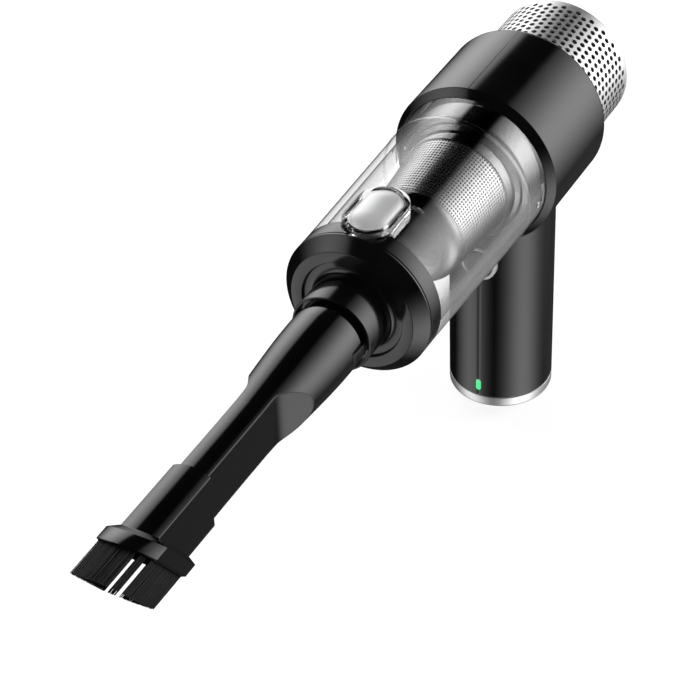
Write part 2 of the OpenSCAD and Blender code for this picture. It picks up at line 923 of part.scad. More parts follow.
// Soft ring that the nose closes on the cup's front edge with
module nose_seal() {
  color("#2a2a2c") ring(nose_in - press, nose_in - 2.2, nose_rear + gap, nose_rear + nose_wall);
}

module flap_pin() {
  color("#c0c3c7") flap_axis(-flap_half - gap - ear_t, flap_half + gap + ear_t, flap_pin_r);
}

// Rubber flap that keeps the dust in when the air stops
module inlet_flap() {
  color("#26272a") difference() {
    union() {
      along(flap_front - flap_t) cylinder(r = flap_r, h = flap_t);
      along(flap_front - flap_t) translate([-flap_half, 0, 0]) cube([2 * flap_half, flap_pin_y, flap_t]);
      flap_axis(-flap_half, flap_half, flap_barrel_r);
    }
    flap_axis(-flap_half - over, flap_half + over, flap_pin_r + fit);
  }
}

// The nozzle's outer or inner form: round at the rear, with two flats and round crowns in front
module nozzle_form(inset) {
  intersection() {
    turned([
      [0, nozzle_rear - inset], [nozzle_r - inset, nozzle_rear - inset], [nozzle_r - inset, taper_start],
      [crown_r - inset, taper_end], [crown_r - inset, nozzle_reach], [0, nozzle_reach]
    ]);
    translate([0, 0, axis_h - nozzle_d]) linear_extrude(2 * nozzle_d) polygon([
      [nozzle_d, 0], [nozzle_d, -ramp_start], [nozzle_r - inset, -ramp_start], [flat_x - inset, -ramp_end],
      [flat_x - inset, -nozzle_reach], [inset - flat_x, -nozzle_reach], [inset - flat_x, -ramp_end],
      [inset - nozzle_r, -ramp_start], [-nozzle_d, -ramp_start], [-nozzle_d, 0]
    ]);
  }
}

// Everything in front of a slanted plane that crosses the axis at a place
module ahead_of(s) {
  side = 8 * nozzle_d;
  translate([0, -s, axis_h]) rotate([mouth_slant, 0, 0]) translate([-side / 2, -side, -side / 2]) cube(side);
}

// Crevice nozzle with its spigot and its snap tabs
module nozzle() {
  color("#101113") difference() {
    union() {
      nozzle_form(0);
      along(spigot_rear) cylinder(r = spigot_r, h = nozzle_rear - spigot_rear + over);
      for (side = [-1, 1]) along(nozzle_rear + tab_gap) translate([side * (nozzle_r - over), 0, tab_l / 2])
        cube([2 * (tab_t + over), tab_w, tab_l], center = true);
    }
    nozzle_form(nozzle_wall);
    along(spigot_rear - over) cylinder(r = spigot_bore, h = nozzle_rear - spigot_rear + tab_l);
    ahead_of(mouth_s);
  }
}

// The form of the nozzle's flat part, grown by a clearance, from one place to another
module flat_form(grow, from, to) {
  intersection() {
    along(from) cylinder(r = crown_r + grow, h = to - from);
    along(from) translate([-flat_x - grow, -nozzle_d, 0]) cube([2 * (flat_x + grow), 2 * nozzle_d, to - from]);
  }
}

// A slanted block with bevelled rear edges: half sizes across and up, between two depths behind its front
module slanted_block(w, h, front, rear, bevel_w) {
  translate([0, -collar_front, axis_h]) rotate([mouth_slant, 0, 0]) intersection() {
    translate([0, 0, -nozzle_d]) linear_extrude(2 * nozzle_d) polygon([
      [-w, front], [w, front], [w, rear], [w - bevel_w, rear + bevel_w],
      [bevel_w - w, rear + bevel_w], [-w, rear]
    ]);
    rotate([90, 0, 90]) translate([0, 0, -nozzle_d]) linear_extrude(2 * nozzle_d) polygon([
      [front, -h], [front, h], [rear, h], [rear + bevel_w, h - bevel_w],
      [rear + bevel_w, bevel_w - h], [rear, -h]
    ]);
  }
}

// Brush holder: a sleeve on the nozzle with a slanted collar
module brush_collar() {
  slant_h = collar_h / 2 / cos(mouth_slant);
  color("#101113") difference() {
    union() {
      difference() {
        flat_form(gap + sleeve_wall, sleeve_rear, nozzle_reach);
        ahead_of(collar_front - backing_t / cos(mouth_slant) - over);
      }
      intersection() {
        slanted_block(collar_w / 2, slant_h, backing_t, collar_t, collar_bevel);
        along(sleeve_rear) cylinder(r = collar_round, h = nozzle_reach - sleeve_rear);
      }
    }
    flat_form(gap, sleeve_rear - over, nozzle_reach);
  }
}

// One bristle, from the backing to its slanted tip
module strand(x, z) {
  root = collar_front + z * tan(mouth_slant) - backing_t / 2;
  along(root) translate([x, z, 0]) cylinder(r = strand_r, h = bristle_l + backing_t / 2, $fn = 4);
}

// Bristles round the mouth, on a slice of their backing
module brush_bristles() {
  inset = 0.4;
  slant_h = collar_h / 2 / cos(mouth_slant) - inset;
  color("#1a1a1c") union() {
    difference() {
      intersection() {
        slanted_block(collar_w / 2 - inset, slant_h, 0, backing_t, 0);
        along(sleeve_rear) cylinder(r = collar_round - inset, h = nozzle_reach - sleeve_rear);
      }
      flat_form(gap, sleeve_rear, nozzle_reach);
    }
    for (side = [-1, 1], i = [0 : row_cols - 1], j = [0 : row_count - 1])
      strand(side * (row_x + i * row_pitch_x), row_half_z * (2 * j / (row_count - 1) - 1));
    for (side = [-1, 1], i = [0 : end_cols - 1], j = [0, 1])
      strand(end_half_x * (2 * i / (end_cols - 1) - 1), side * (end_z + j * end_pitch_z));
    for (sx = [-1, 1], sz = [-1, 1], i = [0 : corner_n - 1], j = [0 : corner_n - 1])
      strand(sx * (corner_x + i * corner_pitch), sz * (corner_z + j * corner_pitch));
  }
}

housing_shell();
exhaust_drum();
exhaust_foam();
housing_seal();
rear_frame();
motor_damper();
motor_mount();
motor_can();
motor_magnets();
motor_end_plate();
front_bearing();
rear_bearing();
fan_shroud();
motor_shaft();
rotor_core();
commutator();
fan_wheel();
grip_left();
grip_right();
foot_ring();
foot_plate();
foot_pad();
foot_screws();
battery_cells();
cell_holder_lower();
cell_holder_upper();
cell_straps();
control_board();
power_switch();
charge_board();
charge_inlet();
charge_light();
motor_leads();
button_bezel();
power_button();
dust_cup();
release_bezel();
hinge_pin();
release_button();
filter_frame();
filter_mesh();
filter_pleats();
filter_cap();
filter_seal();
nose_cap();
nose_seal();
flap_pin();
inlet_flap();
nozzle();
brush_collar();
brush_bristles();
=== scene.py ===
"""Looks of the cordless car vacuum cleaner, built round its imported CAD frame."""

import json
import math
import random

import bmesh
import bpy
from mathutils import Matrix, Vector


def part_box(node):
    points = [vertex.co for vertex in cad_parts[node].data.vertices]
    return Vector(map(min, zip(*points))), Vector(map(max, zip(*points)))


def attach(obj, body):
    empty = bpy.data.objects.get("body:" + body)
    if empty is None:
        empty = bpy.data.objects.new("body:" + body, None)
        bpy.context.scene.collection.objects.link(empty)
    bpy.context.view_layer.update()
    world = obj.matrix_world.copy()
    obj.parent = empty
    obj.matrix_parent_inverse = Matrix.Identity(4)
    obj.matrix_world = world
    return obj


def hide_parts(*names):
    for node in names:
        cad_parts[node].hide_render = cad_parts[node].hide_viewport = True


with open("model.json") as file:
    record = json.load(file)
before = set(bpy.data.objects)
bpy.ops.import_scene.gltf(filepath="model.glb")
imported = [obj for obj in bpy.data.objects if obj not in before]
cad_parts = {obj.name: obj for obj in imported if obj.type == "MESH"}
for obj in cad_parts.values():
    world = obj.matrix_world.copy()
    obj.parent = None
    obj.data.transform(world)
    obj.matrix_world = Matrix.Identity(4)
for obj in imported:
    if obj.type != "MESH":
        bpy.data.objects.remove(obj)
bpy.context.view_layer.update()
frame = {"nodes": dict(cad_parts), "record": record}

# Places. The object's lengths are millimetres, and those along the body run forward from the grip's axis.
MM = 0.001
TURN = 2 * math.pi
drum_low, drum_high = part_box("exhaust_drum")
AXIS_Z = (drum_low.z + drum_high.z) / 2


def off_axis(x, s, z):
    """Point at x, s along the body and z above the body's axis."""
    return Vector((x * MM, -s * MM, AXIS_Z + z * MM))


def on_body(s, r, a):
    """Point s along the body and r off its axis, at angle a from the top towards the right."""
    return off_axis(r * math.sin(a), s, r * math.cos(a))


def on_grip(z, r, a):
    """Point at height z and r off the grip's axis, at angle a from the front towards the right."""
    return Vector((r * math.sin(a), -r * math.cos(a), z)) * MM


def reach(node):
    """Where a node starts and ends along the body."""
    low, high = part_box(node)
    return -high.y / MM, -low.y / MM


def half_width(node):
    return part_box(node)[1].x / MM


def middle_z(node):
    """Height of a node's middle."""
    low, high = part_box(node)
    return (low.z + high.z) / 2 / MM


# Camera, fitted to the photograph, with its distance in metres
VIEW_AZ = math.radians(29.58)
VIEW_EL = math.radians(39.06)
VIEW_ROLL = math.radians(-2.14)
VIEW_DISTANCE = 1.0613
FOCAL_PX = 2500.0
FRAME_PX = 700.0
FOOT_PX = (500.54, 374.48)
SENSOR_MM = 36.0


def make_camera():
    flat = math.cos(VIEW_EL)
    back = Vector((math.sin(VIEW_AZ) * flat, -math.cos(VIEW_AZ) * flat, math.sin(VIEW_EL)))
    level = Vector((math.cos(VIEW_AZ), math.sin(VIEW_AZ), 0))
    rise = back.cross(level)
    right = math.cos(VIEW_ROLL) * level + math.sin(VIEW_ROLL) * rise
    up = math.cos(VIEW_ROLL) * rise - math.sin(VIEW_ROLL) * level
    per_px = VIEW_DISTANCE / FOCAL_PX
    place = back * VIEW_DISTANCE
    place -= right * (FOOT_PX[0] - FRAME_PX / 2) * per_px
    place += up * (FOOT_PX[1] - FRAME_PX / 2) * per_px
    data = bpy.data.cameras.new("camera")
    data.sensor_width = SENSOR_MM
    data.lens = SENSOR_MM * FOCAL_PX / FRAME_PX
    camera = bpy.data.objects.new("camera", data)
    turned = Matrix((right, up, back)).transposed().to_4x4()
    camera.matrix_world = Matrix.Translation(place) @ turned
    bpy.context.scene.collection.objects.link(camera)
    bpy.context.scene.camera = camera


make_camera()

# Materials
NOISE_LOW, NOISE_HIGH = 0.3, 0.7
GRAIN_DEPTH = 0.0002
CLEAR_IOR = 1.49


def new_material(name):
    material = bpy.data.materials.new(name)
    material.use_nodes = True
    tree = material.node_tree
    return material, tree, tree.nodes["Principled BSDF"], tree.nodes["Material Output"]


def set_inputs(node, values):
    """Sets inputs by name, in which a low line stands for a space."""
    for socket, value in values.items():
        node.inputs[socket.replace("_", " ")].default_value = value


def add_node(tree, kind, **values):
    node = tree.nodes.new("ShaderNode" + kind)
    set_inputs(node, values)
    return node


def add_noise(tree, scale, detail, stretch=None):
    """A noise in the object's own place, stretched along an axis if asked."""
    where = add_node(tree, "TexCoord").outputs["Object"]
    if stretch:
        mapping = add_node(tree, "Mapping", Scale=stretch)
        tree.links.new(where, mapping.inputs["Vector"])
        where = mapping.outputs["Vector"]
    noise = add_node(tree, "TexNoise", Scale=scale, Detail=detail)
    tree.links.new(where, noise.inputs["Vector"])
    return noise.outputs["Fac"]


def add_range(tree, source, low, high, start=NOISE_LOW, end=NOISE_HIGH):
    """Spreads a stretch of the source, which is the middle of a noise unless told, over a range."""
    spread = add_node(tree, "MapRange", From_Min=start, From_Max=end, To_Min=low, To_Max=high)
    tree.links.new(source, spread.inputs["Value"])
    return spread.outputs["Result"]


def add_ramp(tree, source, *stops):
    """A ramp through stops of (place, colour)."""
    node = add_node(tree, "ValToRGB")
    elements = node.color_ramp.elements
    while len(elements) < len(stops):
        elements.new(0.5)
    for element, (place, colour) in zip(elements, stops):
        element.position = place
        element.color = (*colour, 1)
    tree.links.new(source, node.inputs["Fac"])
    return node.outputs["Color"]


def add_math(tree, operation, *values):
    """A math node on sockets or plain numbers."""
    node = add_node(tree, "Math")
    node.operation = operation
    for socket, value in zip(node.inputs, values):
        if isinstance(value, (int, float)):
            socket.default_value = value
        else:
            tree.links.new(value, socket)
    return node.outputs[0]


def mix_shaders(tree, share, first, second):
    """first where share is 0 and second where it is 1."""
    mix = add_node(tree, "MixShader")
    tree.links.new(share, mix.inputs["Fac"])
    tree.links.new(first, mix.inputs[1])
    tree.links.new(second, mix.inputs[2])
    return mix.outputs["Shader"]


def grey(value):
    return (value, value, value)


def finish(name, dark, light, rough, scale=45, grain=0.0, grain_scale=1200, stretch=None, **sockets):
    """A surface with mottled colour, uneven gloss and, where asked, a fine grain."""
    material, tree, shader, _ = new_material(name)
    patches = add_noise(tree, scale, detail=4.0, stretch=stretch)
    shades = add_ramp(tree, patches, (NOISE_LOW, dark), (NOISE_HIGH, light))
    tree.links.new(shades, shader.inputs["Base Color"])
    tree.links.new(add_range(tree, patches, *rough), shader.inputs["Roughness"])
    if grain:
        bump = add_node(tree, "Bump", Strength=grain, Distance=GRAIN_DEPTH)
        fine = add_noise(tree, grain_scale, detail=2.0, stretch=stretch)
        tree.links.new(fine, bump.inputs["Height"])
        tree.links.new(bump.outputs["Normal"], shader.inputs["Normal"])
    set_inputs(shader, sockets)
    return material


def clear_solid(name):
    """Clear moulded plastic with faint flow marks, which bends light and lets the lamps through."""
    material, tree, shader, output = new_material(name)
    flow = add_noise(tree, 30, detail=2.0, stretch=(1.0, 0.2, 1.0))
    shades = add_ramp(tree, flow, (NOISE_LOW, (0.97, 0.975, 0.98)), (NOISE_HIGH, grey(0.99)))
    tree.links.new(shades, shader.inputs["Base Color"])
    tree.links.new(add_range(tree, flow, 0.0, 0.02), shader.inputs["Roughness"])
    set_inputs(shader, {"Transmission Weight": 1.0, "IOR": CLEAR_IOR})
    through = add_node(tree, "BsdfTransparent", Color=(0.93, 0.94, 0.95, 1))
    shadow = add_node(tree, "LightPath").outputs["Is Shadow Ray"]
    mixed = mix_shaders(tree, shadow, shader.outputs["BSDF"], through.outputs["BSDF"])
    tree.links.new(mixed, output.inputs["Surface"])
    return material


# Clear wall. The stops run from facing the eye, at 0, to edge on, at 1.
# Towards edge on the wall lets less through: partly the longer path through the plastic, partly painted
# shade in place of the dark that the wall's edges reflect
WALL_CLEAR = ((0.76, grey(0.985)), (0.86, grey(0.8)), (0.95, grey(0.12)))
WALL_GLOSS = 0.16
WALL_GLOSS_MOST = 0.125
# Painted edge light: a lit grey mixed into the clear wall near its edges, in place of light that a thick
# wall bends from behind, less on the left (-x) side
PAINTED_EDGE_LIGHT_BAND = ((0.52, grey(0.0)), (0.66, grey(0.45)), (0.78, grey(0.65)), (0.95, grey(0.35)))
PAINTED_EDGE_LIGHT_COLOUR = grey(0.46)
PAINTED_EDGE_LIGHT_SIDE = 0.02
PAINTED_EDGE_LIGHT_LEAST = 0.12


def add_painted_edge_light(tree, facing):
    """Share of painted edge light in a clear wall: a grey standing in for light bent through the wall, most
    near its edges and least on the left.
    """
    parts = add_node(tree, "SeparateXYZ")
    tree.links.new(add_node(tree, "TexCoord").outputs["Object"], parts.inputs[0])
    side = add_range(tree, parts.outputs["X"], PAINTED_EDGE_LIGHT_LEAST, 1.0, -PAINTED_EDGE_LIGHT_SIDE, PAINTED_EDGE_LIGHT_SIDE)
    return add_math(tree, "MULTIPLY", add_ramp(tree, facing, *PAINTED_EDGE_LIGHT_BAND), side)


def clear_wall(name):
    """A clear thin wall: what is behind shows straight, with a painted pale glow at the edges in place of
    light bent through the wall, under a gloss.
    """
    material, tree, shader, output = new_material(name)
    tree.nodes.remove(shader)
    facing = add_node(tree, "LayerWeight", Blend=0.5).outputs["Facing"]
    through = add_node(tree, "BsdfTransparent")
    tree.links.new(add_ramp(tree, facing, *WALL_CLEAR), through.inputs["Color"])
    painted_glow = add_node(tree, "BsdfDiffuse", Color=(*PAINTED_EDGE_LIGHT_COLOUR, 1))
    painted_glow_mix = mix_shaders(tree, add_painted_edge_light(tree, facing), through.outputs["BSDF"], painted_glow.outputs["BSDF"])
    gloss = add_node(tree, "BsdfGlossy")
    uneven = add_range(tree, add_noise(tree, 40, detail=2.0), 0.02, 0.05)
    tree.links.new(uneven, gloss.inputs["Roughness"])
    bend = add_node(tree, "Fresnel", IOR=CLEAR_IOR).outputs["Fac"]
    share = add_math(tree, "MINIMUM", add_math(tree, "MULTIPLY", bend, WALL_GLOSS), WALL_GLOSS_MOST)
    tree.links.new(mix_shaders(tree, share, painted_glow_mix, gloss.outputs["BSDF"]), output.inputs["Surface"])
    return material


FINISHES = {
    "shell_black": finish("shell_black", grey(0.0022), grey(0.0034), (0.1, 0.14), grain=0.03),
    "nose_black": finish("nose_black", grey(0.0022), grey(0.0036), (0.11, 0.15), grain=0.03),
    "gloss_black": finish("gloss_black", grey(0.0015), grey(0.0025), (0.07, 0.1), grain=0.008),
    "bristle": finish("bristle", grey(0.004), grey(0.012), (0.45, 0.6), scale=800, Specular_IOR_Level=0.15),
    "clear": clear_solid("clear"),
    "bright": finish("bright", grey(0.62), grey(0.68), (0.28, 0.34), grain=0.01, Metallic=0.2),
    "polished": finish("polished", grey(0.66), grey(0.74), (0.3, 0.38), scale=25, Metallic=0.85,
                       stretch=(1.0, 1.0, 30.0)),
    "drum_steel": finish("drum_steel", grey(0.7), grey(0.78), (0.42, 0.5), scale=60, Metallic=1.0,
                         stretch=(1.0, 12.0, 1.0)),
    "steel": finish("steel", grey(0.5), grey(0.6), (0.25, 0.36), Metallic=1.0),
    "mesh_steel": finish("mesh_steel", grey(0.38), grey(0.44), (0.2, 0.26), Metallic=1.0),
    "iron": finish("iron", grey(0.1), grey(0.16), (0.45, 0.6), grain=0.2, Metallic=0.8),
    "copper": finish("copper", (0.55, 0.26, 0.12), (0.66, 0.34, 0.17), (0.25, 0.4), Metallic=1.0),
    "inner_black": finish("inner_black", grey(0.02), grey(0.03), (0.4, 0.5), grain=0.1),
    "filter_grey": finish("filter_grey", grey(0.16), grey(0.185), (0.04, 0.06), grain=0.005, Metallic=1.0),
    "paper": finish("paper", (0.74, 0.72, 0.66), (0.84, 0.82, 0.77), (0.8, 0.95), scale=300, grain=0.5),
    "foam": finish("foam", grey(0.012), grey(0.035), (0.85, 1.0), scale=700, grain=0.8, grain_scale=700),
    "rubber": finish("rubber", grey(0.014), grey(0.022), (0.55, 0.7), grain=0.15),
    "cell_wrap": finish("cell_wrap", (0.03, 0.16, 0.2), (0.05, 0.22, 0.27), (0.25, 0.35)),
    "holder": finish("holder", (0.6, 0.58, 0.52), (0.68, 0.66, 0.6), (0.45, 0.55), grain=0.05),
    "board": finish("board", (0.01, 0.08, 0.035), (0.015, 0.12, 0.05), (0.3, 0.45), scale=200),
    "light": finish("light", (0.03, 0.5, 0.16), (0.05, 0.62, 0.22), (0.2, 0.3), Emission_Strength=0.7,
                    Emission_Color=(0.05, 0.8, 0.25, 1)),
    "lead": finish("lead", (0.32, 0.02, 0.02), (0.4, 0.03, 0.03), (0.4, 0.5)),
    "button_dark": finish("button_dark", grey(0.05), grey(0.07), (0.2, 0.3), grain=0.03),
}
CLEAR_WALL = clear_wall("clear_wall")

for part in frame["record"]["subparts"]:
    skin = frame["nodes"][part["node"]]
    skin.data.materials.clear()
    skin.data.materials.append(FINISHES[part["material_slot"]])

# Mesh helpers, with the distances at which points are joined in metres
FINE_TURN = 224
SIDE_SHARE = 0.49
ON_AXIS = 1e-6
SAME_POINT = 1e-7
NO_LENGTH = 1e-8
CAD_WELD = 1e-6
CAD_FLAT = math.radians(0.3)


def rounded(corners, steps=5, closed=True):
    """Outline from corners of (along, radius, rounding), with each rounding as an arc."""
    points = []
    for i, (along, radius, rounding) in enumerate(corners):
        here = Vector((along, radius))
        if rounding == 0 or (not closed and i in (0, len(corners) - 1)):
            points.append(here)
            continue
        back = Vector(corners[i - 1][:2]) - here
        ahead = Vector(corners[(i + 1) % len(corners)][:2]) - here
        half = back.angle(ahead) / 2
        run = min(rounding / math.tan(half), SIDE_SHARE * back.length, SIDE_SHARE * ahead.length)
        arc_r = run * math.tan(half)
        back.normalize()
        ahead.normalize()
        centre = here + (back + ahead).normalized() * arc_r / math.sin(half)
        start, end = here + back * run - centre, here + ahead * run - centre
        for k in range(steps + 1):
            points.append(centre + start.lerp(end, k / steps).normalized() * arc_r)
    return points


def bridge(bm, low, high):
    """Faces between two rings, of which either may be one point."""
    for k in range(max(len(low), len(high))):
        ring = [low[k % len(low)], low[(k + 1) % len(low)], high[(k + 1) % len(high)], high[k % len(high)]]
        face = list(dict.fromkeys(ring))
        if len(face) > 2:
            bm.faces.new(face)


def loft(bm, rings, closed=False, capped=False):
    """Skin over rings of points, joined back to the first ring if closed, with flat ends if capped."""
    made = [[bm.verts.new(p) for p in ring] for ring in rings]
    pairs = list(zip(made, made[1:]))
    if closed:
        pairs.append((made[-1], made[0]))
    for low, high in pairs:
        bridge(bm, low, high)
    if capped:
        bm.faces.new(made[0])
        bm.faces.new(made[-1])


def turn(bm, outline, spot=on_body, segments=160, closed=True):
    """A turned form from an outline of (along, radius)."""
    rings = []
    for along, r in outline:
        count = segments if r > ON_AXIS else 1
        rings.append([spot(along, r, TURN * k / count) for k in range(count)])
    loft(bm, rings, closed=closed)


def add_block(bm, low, high):
    """A plain box between two corners."""
    size, middle = high - low, (low + high) / 2
    for v in bmesh.ops.create_cube(bm, size=1)["verts"]:
        v.co = Vector((v.co.x * size.x, v.co.y * size.y, v.co.z * size.z)) + middle


def to_object(name, bm):
    bmesh.ops.remove_doubles(bm, verts=bm.verts, dist=SAME_POINT)
    bmesh.ops.dissolve_degenerate(bm, edges=bm.edges, dist=NO_LENGTH)
    bmesh.ops.recalc_face_normals(bm, faces=bm.faces)
    mesh = bpy.data.meshes.new(name)
    bm.to_mesh(mesh)
    bm.free()
    made = bpy.data.objects.new(name, mesh)
    bpy.context.scene.collection.objects.link(made)
    return made


def bake_modifiers(made):
    """Keeps the shape that the modifiers give, and takes them off."""
    shaped = made.evaluated_get(bpy.context.evaluated_depsgraph_get())
    mesh = bpy.data.meshes.new_from_object(shaped)
    made.modifiers.clear()
    made.data = mesh


def cut(made, *cutters):
    """Takes the cutters' forms out of a piece."""
    for cutter in cutters:
        away = made.modifiers.new("cut", "BOOLEAN")
        away.operation = "DIFFERENCE"
        away.solver = "EXACT"
        away.object = cutter
        bake_modifiers(made)
        bpy.data.objects.remove(cutter)


def soften(made, width, limit=35, segments=3):
    """Rounds the sharp edges of a piece."""
    edge = made.modifiers.new("edge", "BEVEL")
    edge.width = width * MM
    edge.segments = segments
    edge.limit_method = "ANGLE"
    edge.angle_limit = math.radians(limit)
    edge.use_clamp_overlap = True
    bake_modifiers(made)


def dress(made, body, slot, *replaced, crease=38, material=None):
    """Shades a piece, gives it its finish and sets it on its body."""
    made.data.shade_smooth()
    made.data.set_sharp_from_angle(angle=math.radians(crease))
    made.data.materials.clear()
    made.data.materials.append(material or FINISHES[slot])
    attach(made, body)
    if replaced:
        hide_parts(*replaced)


def copy_of(node, name):
    """A free copy of a CAD node's mesh, with its flat faces joined up."""
    bm = bmesh.new()
    bm.from_mesh(frame["nodes"][node].data)
    bmesh.ops.remove_doubles(bm, verts=bm.verts, dist=CAD_WELD)
    bmesh.ops.dissolve_limit(bm, angle_limit=CAD_FLAT, verts=bm.verts, edges=bm.edges)
    return to_object(name, bm)


def add_plate(bm, levels, a_from, a_to, steps=6):
    """A plate raised on a round form, from levels of (along, inner radius, outer radius)."""
    angles = [a_from + (a_to - a_from) * k / steps for k in range(steps + 1)]
    rings = []
    for s, low, high in levels:
        rings.append([on_body(s, low, a) for a in angles] + [on_body(s, high, a) for a in reversed(angles)])
    loft(bm, rings, capped=True)


def flat_sided(r, x, edge, crown_steps=14, edge_steps=5, flat_steps=5):
    """Section of a round bar of radius r with flats at half width x and rounded edges between them."""
    x = min(x, r)
    rise = math.sqrt(max(0.0, (r - edge) ** 2 - (x - edge) ** 2))
    lean = math.atan2(x - edge, rise)
    quarter = []
    for k in range(crown_steps + 1):
        a = lean * k / crown_steps
        quarter.append((r * math.sin(a), r * math.cos(a)))
    for k in range(1, edge_steps + 1):
        a = lean + (math.pi / 2 - lean) * k / edge_steps
        quarter.append((x - edge + edge * math.sin(a), rise + edge * math.cos(a)))
    quarter += [(x, rise * (1 - k / flat_steps)) for k in range(1, flat_steps)]
    right = quarter + [(px, -pz) for px, pz in reversed(quarter)]
    return right + [(-px, pz) for px, pz in reversed(right)]


def bar_ring(s, r, x=None, edge=0.45, slant=0.0):
    """Ring of a flat-sided bar along the body's axis, sheared by a slant of its end."""
    outline = flat_sided(r, r if x is None else x, edge)
    return [off_axis(px, s + pz * slant, pz) for px, pz in outline]


# Motor housing: a barrel with a soft front bevel, a round rear edge and the grip's socket
HOUSING_REAR, HOUSING_LIP = reach("housing_shell")
HOUSING_R = half_width("housing_shell")
HOUSING_WALL = 2.5
HOUSING_IN = HOUSING_R - HOUSING_WALL
BEVEL = 3.1
REAR_ROUND = 6.0
CUP_BORE = 31.3
SHROUD_BORE = 28.0
DRUM_BORE = 28.55
CUP_SEAT = 12.0
SHOULDER = 9.0
LIP = 2.5
SEAM_HALF = 0.22
SEAM_X = -3.0
SEAM_PAST = 1.1
SOCKET_LOW = 84.0
SOCKET_R = 19.2
SOCKET_IN = 17.0


def saddle(x, r):
    """Height at which an upright wall at x meets a round of radius r on the body's axis."""
    return AXIS_Z / MM - math.sqrt(r * r - x * x)


def add_socket(bm, count=96):
    """The ring in the housing that holds the top of the grip."""
    inside = HOUSING_IN + LIP / 2
    angles = [TURN * k / count for k in range(count)]
    rings = [[on_grip(SOCKET_LOW, r, a) for a in angles] for r in (SOCKET_IN, SOCKET_R)]
    for r in (SOCKET_R, SOCKET_IN):
        rings.append([on_grip(saddle(r * math.sin(a), inside), r, a) for a in angles])
    loft(bm, rings, closed=True)


def seam_cutter():
    """A thin block along the top of the housing, past both of its ends."""
    bm = bmesh.new()
    low = off_axis(SEAM_X - SEAM_HALF, SEAM_PAST * HOUSING_LIP, HOUSING_R - 2 * SEAM_HALF)
    high = off_axis(SEAM_X + SEAM_HALF, SEAM_PAST * HOUSING_REAR, SEAM_PAST * HOUSING_R)
    add_block(bm, low, high)
    return to_object("cut_seam", bm)


def make_housing():
    bm = bmesh.new()
    turn(bm, rounded([
        (HOUSING_REAR + LIP, DRUM_BORE, 0.2),
        (HOUSING_REAR, DRUM_BORE, 0.25),
        (HOUSING_REAR, HOUSING_R, REAR_ROUND),
        (HOUSING_LIP - BEVEL, HOUSING_R, 0.7),
        (HOUSING_LIP, CUP_BORE, 0.25),
        (CUP_SEAT, CUP_BORE, 0),
        (CUP_SEAT, SHROUD_BORE, 0),
        (SHOULDER, SHROUD_BORE, 0),
        (SHOULDER, HOUSING_IN, 0),
        (HOUSING_REAR + REAR_ROUND, HOUSING_IN, 0),
    ], steps=8), segments=FINE_TURN)
    add_socket(bm)
    made = to_object("housing_barrel", bm)
    cut(made, seam_cutter())
    dress(made, "body", "shell_black", "housing_shell")
    # Left out of reflections, so that the filter beside it stays bright
    made.visible_glossy = False


make_housing()

# Exhaust drum: a metal can with staggered columns of round holes
DRUM_END, DRUM_SEAT = reach("exhaust_drum")
DRUM_R = half_width("exhaust_drum")
DRUM_T = 0.8
DRUM_IN = DRUM_R - DRUM_T
DRUM_EDGE = 2.8
DRUM_RIM = 1.2
DRUM_MARGIN = 0.3
DRUM_ROWS = 10
DRUM_COLS = 56
DRUM_HOLE_R = 1.1


def add_cell(bm, skins, u0, u1, v0, v1, hole, sides):
    """A patch of two skins from u0 to u1 and v0 to v1, with a round hole through its middle.

    hole is the hole's radius as a share of half the patch, and sides its edges for each eighth."""
    border = [(-1, -1), (-1, 0), (-1, 1), (0, 1), (1, 1), (1, 0), (1, -1), (0, -1)]
    first_corner = math.radians(225)
    mid_u, mid_v, half_u, half_v = (u0 + u1) / 2, (v0 + v1) / 2, (u1 - u0) / 2, (v1 - v0) / 2
    count = len(border) * sides
    rims = []
    for skin in skins:
        outer = [bm.verts.new(skin(mid_u + half_u * p, mid_v + half_v * q)) for p, q in border]
        rim = []
        for k in range(count):
            a = first_corner - TURN * k / count
            u, v = mid_u + half_u * hole * math.cos(a), mid_v + half_v * hole * math.sin(a)
            rim.append(bm.verts.new(skin(u, v)))
        for i in range(len(border)):
            loop = [outer[i], outer[(i + 1) % len(border)]]
            bm.faces.new(loop + [rim[(i * sides + j) % count] for j in range(sides, -1, -1)])
        rims.append(rim)
    bridge(bm, *rims)


def add_patch(bm, skins, u0, u1, v0, v1):
    """A plain patch of two skins."""
    mid = (v0 + v1) / 2
    for skin in skins:
        for low, high in ((v0, mid), (mid, v1)):
            bm.faces.new([bm.verts.new(skin(*p)) for p in ((u0, low), (u1, low), (u1, high), (u0, high))])


def perforate(bm, skins, rows, cols, hole, stagger=False, sides=2):
    """Holes on two skins, functions of (u along, v around), with every second column shifted if asked."""
    for col in range(cols):
        v0, v1 = col / cols, (col + 1) / cols
        shift = 0.5 if stagger and col % 2 else 0.0
        for row in range(rows - (1 if shift else 0)):
            add_cell(bm, skins, (row + shift) / rows, (row + 1 + shift) / rows, v0, v1, hole, sides)
        if shift:
            add_patch(bm, skins, 0, shift / rows, v0, v1)
            add_patch(bm, skins, 1 - shift / rows, 1, v0, v1)


def drum_cap(start, end, r, edge):
    """Outline of the drum's closed end, from its wall to its middle."""
    return rounded([(start, r, 0), (end, r, edge), (end, 0, 0)], steps=8, closed=False)


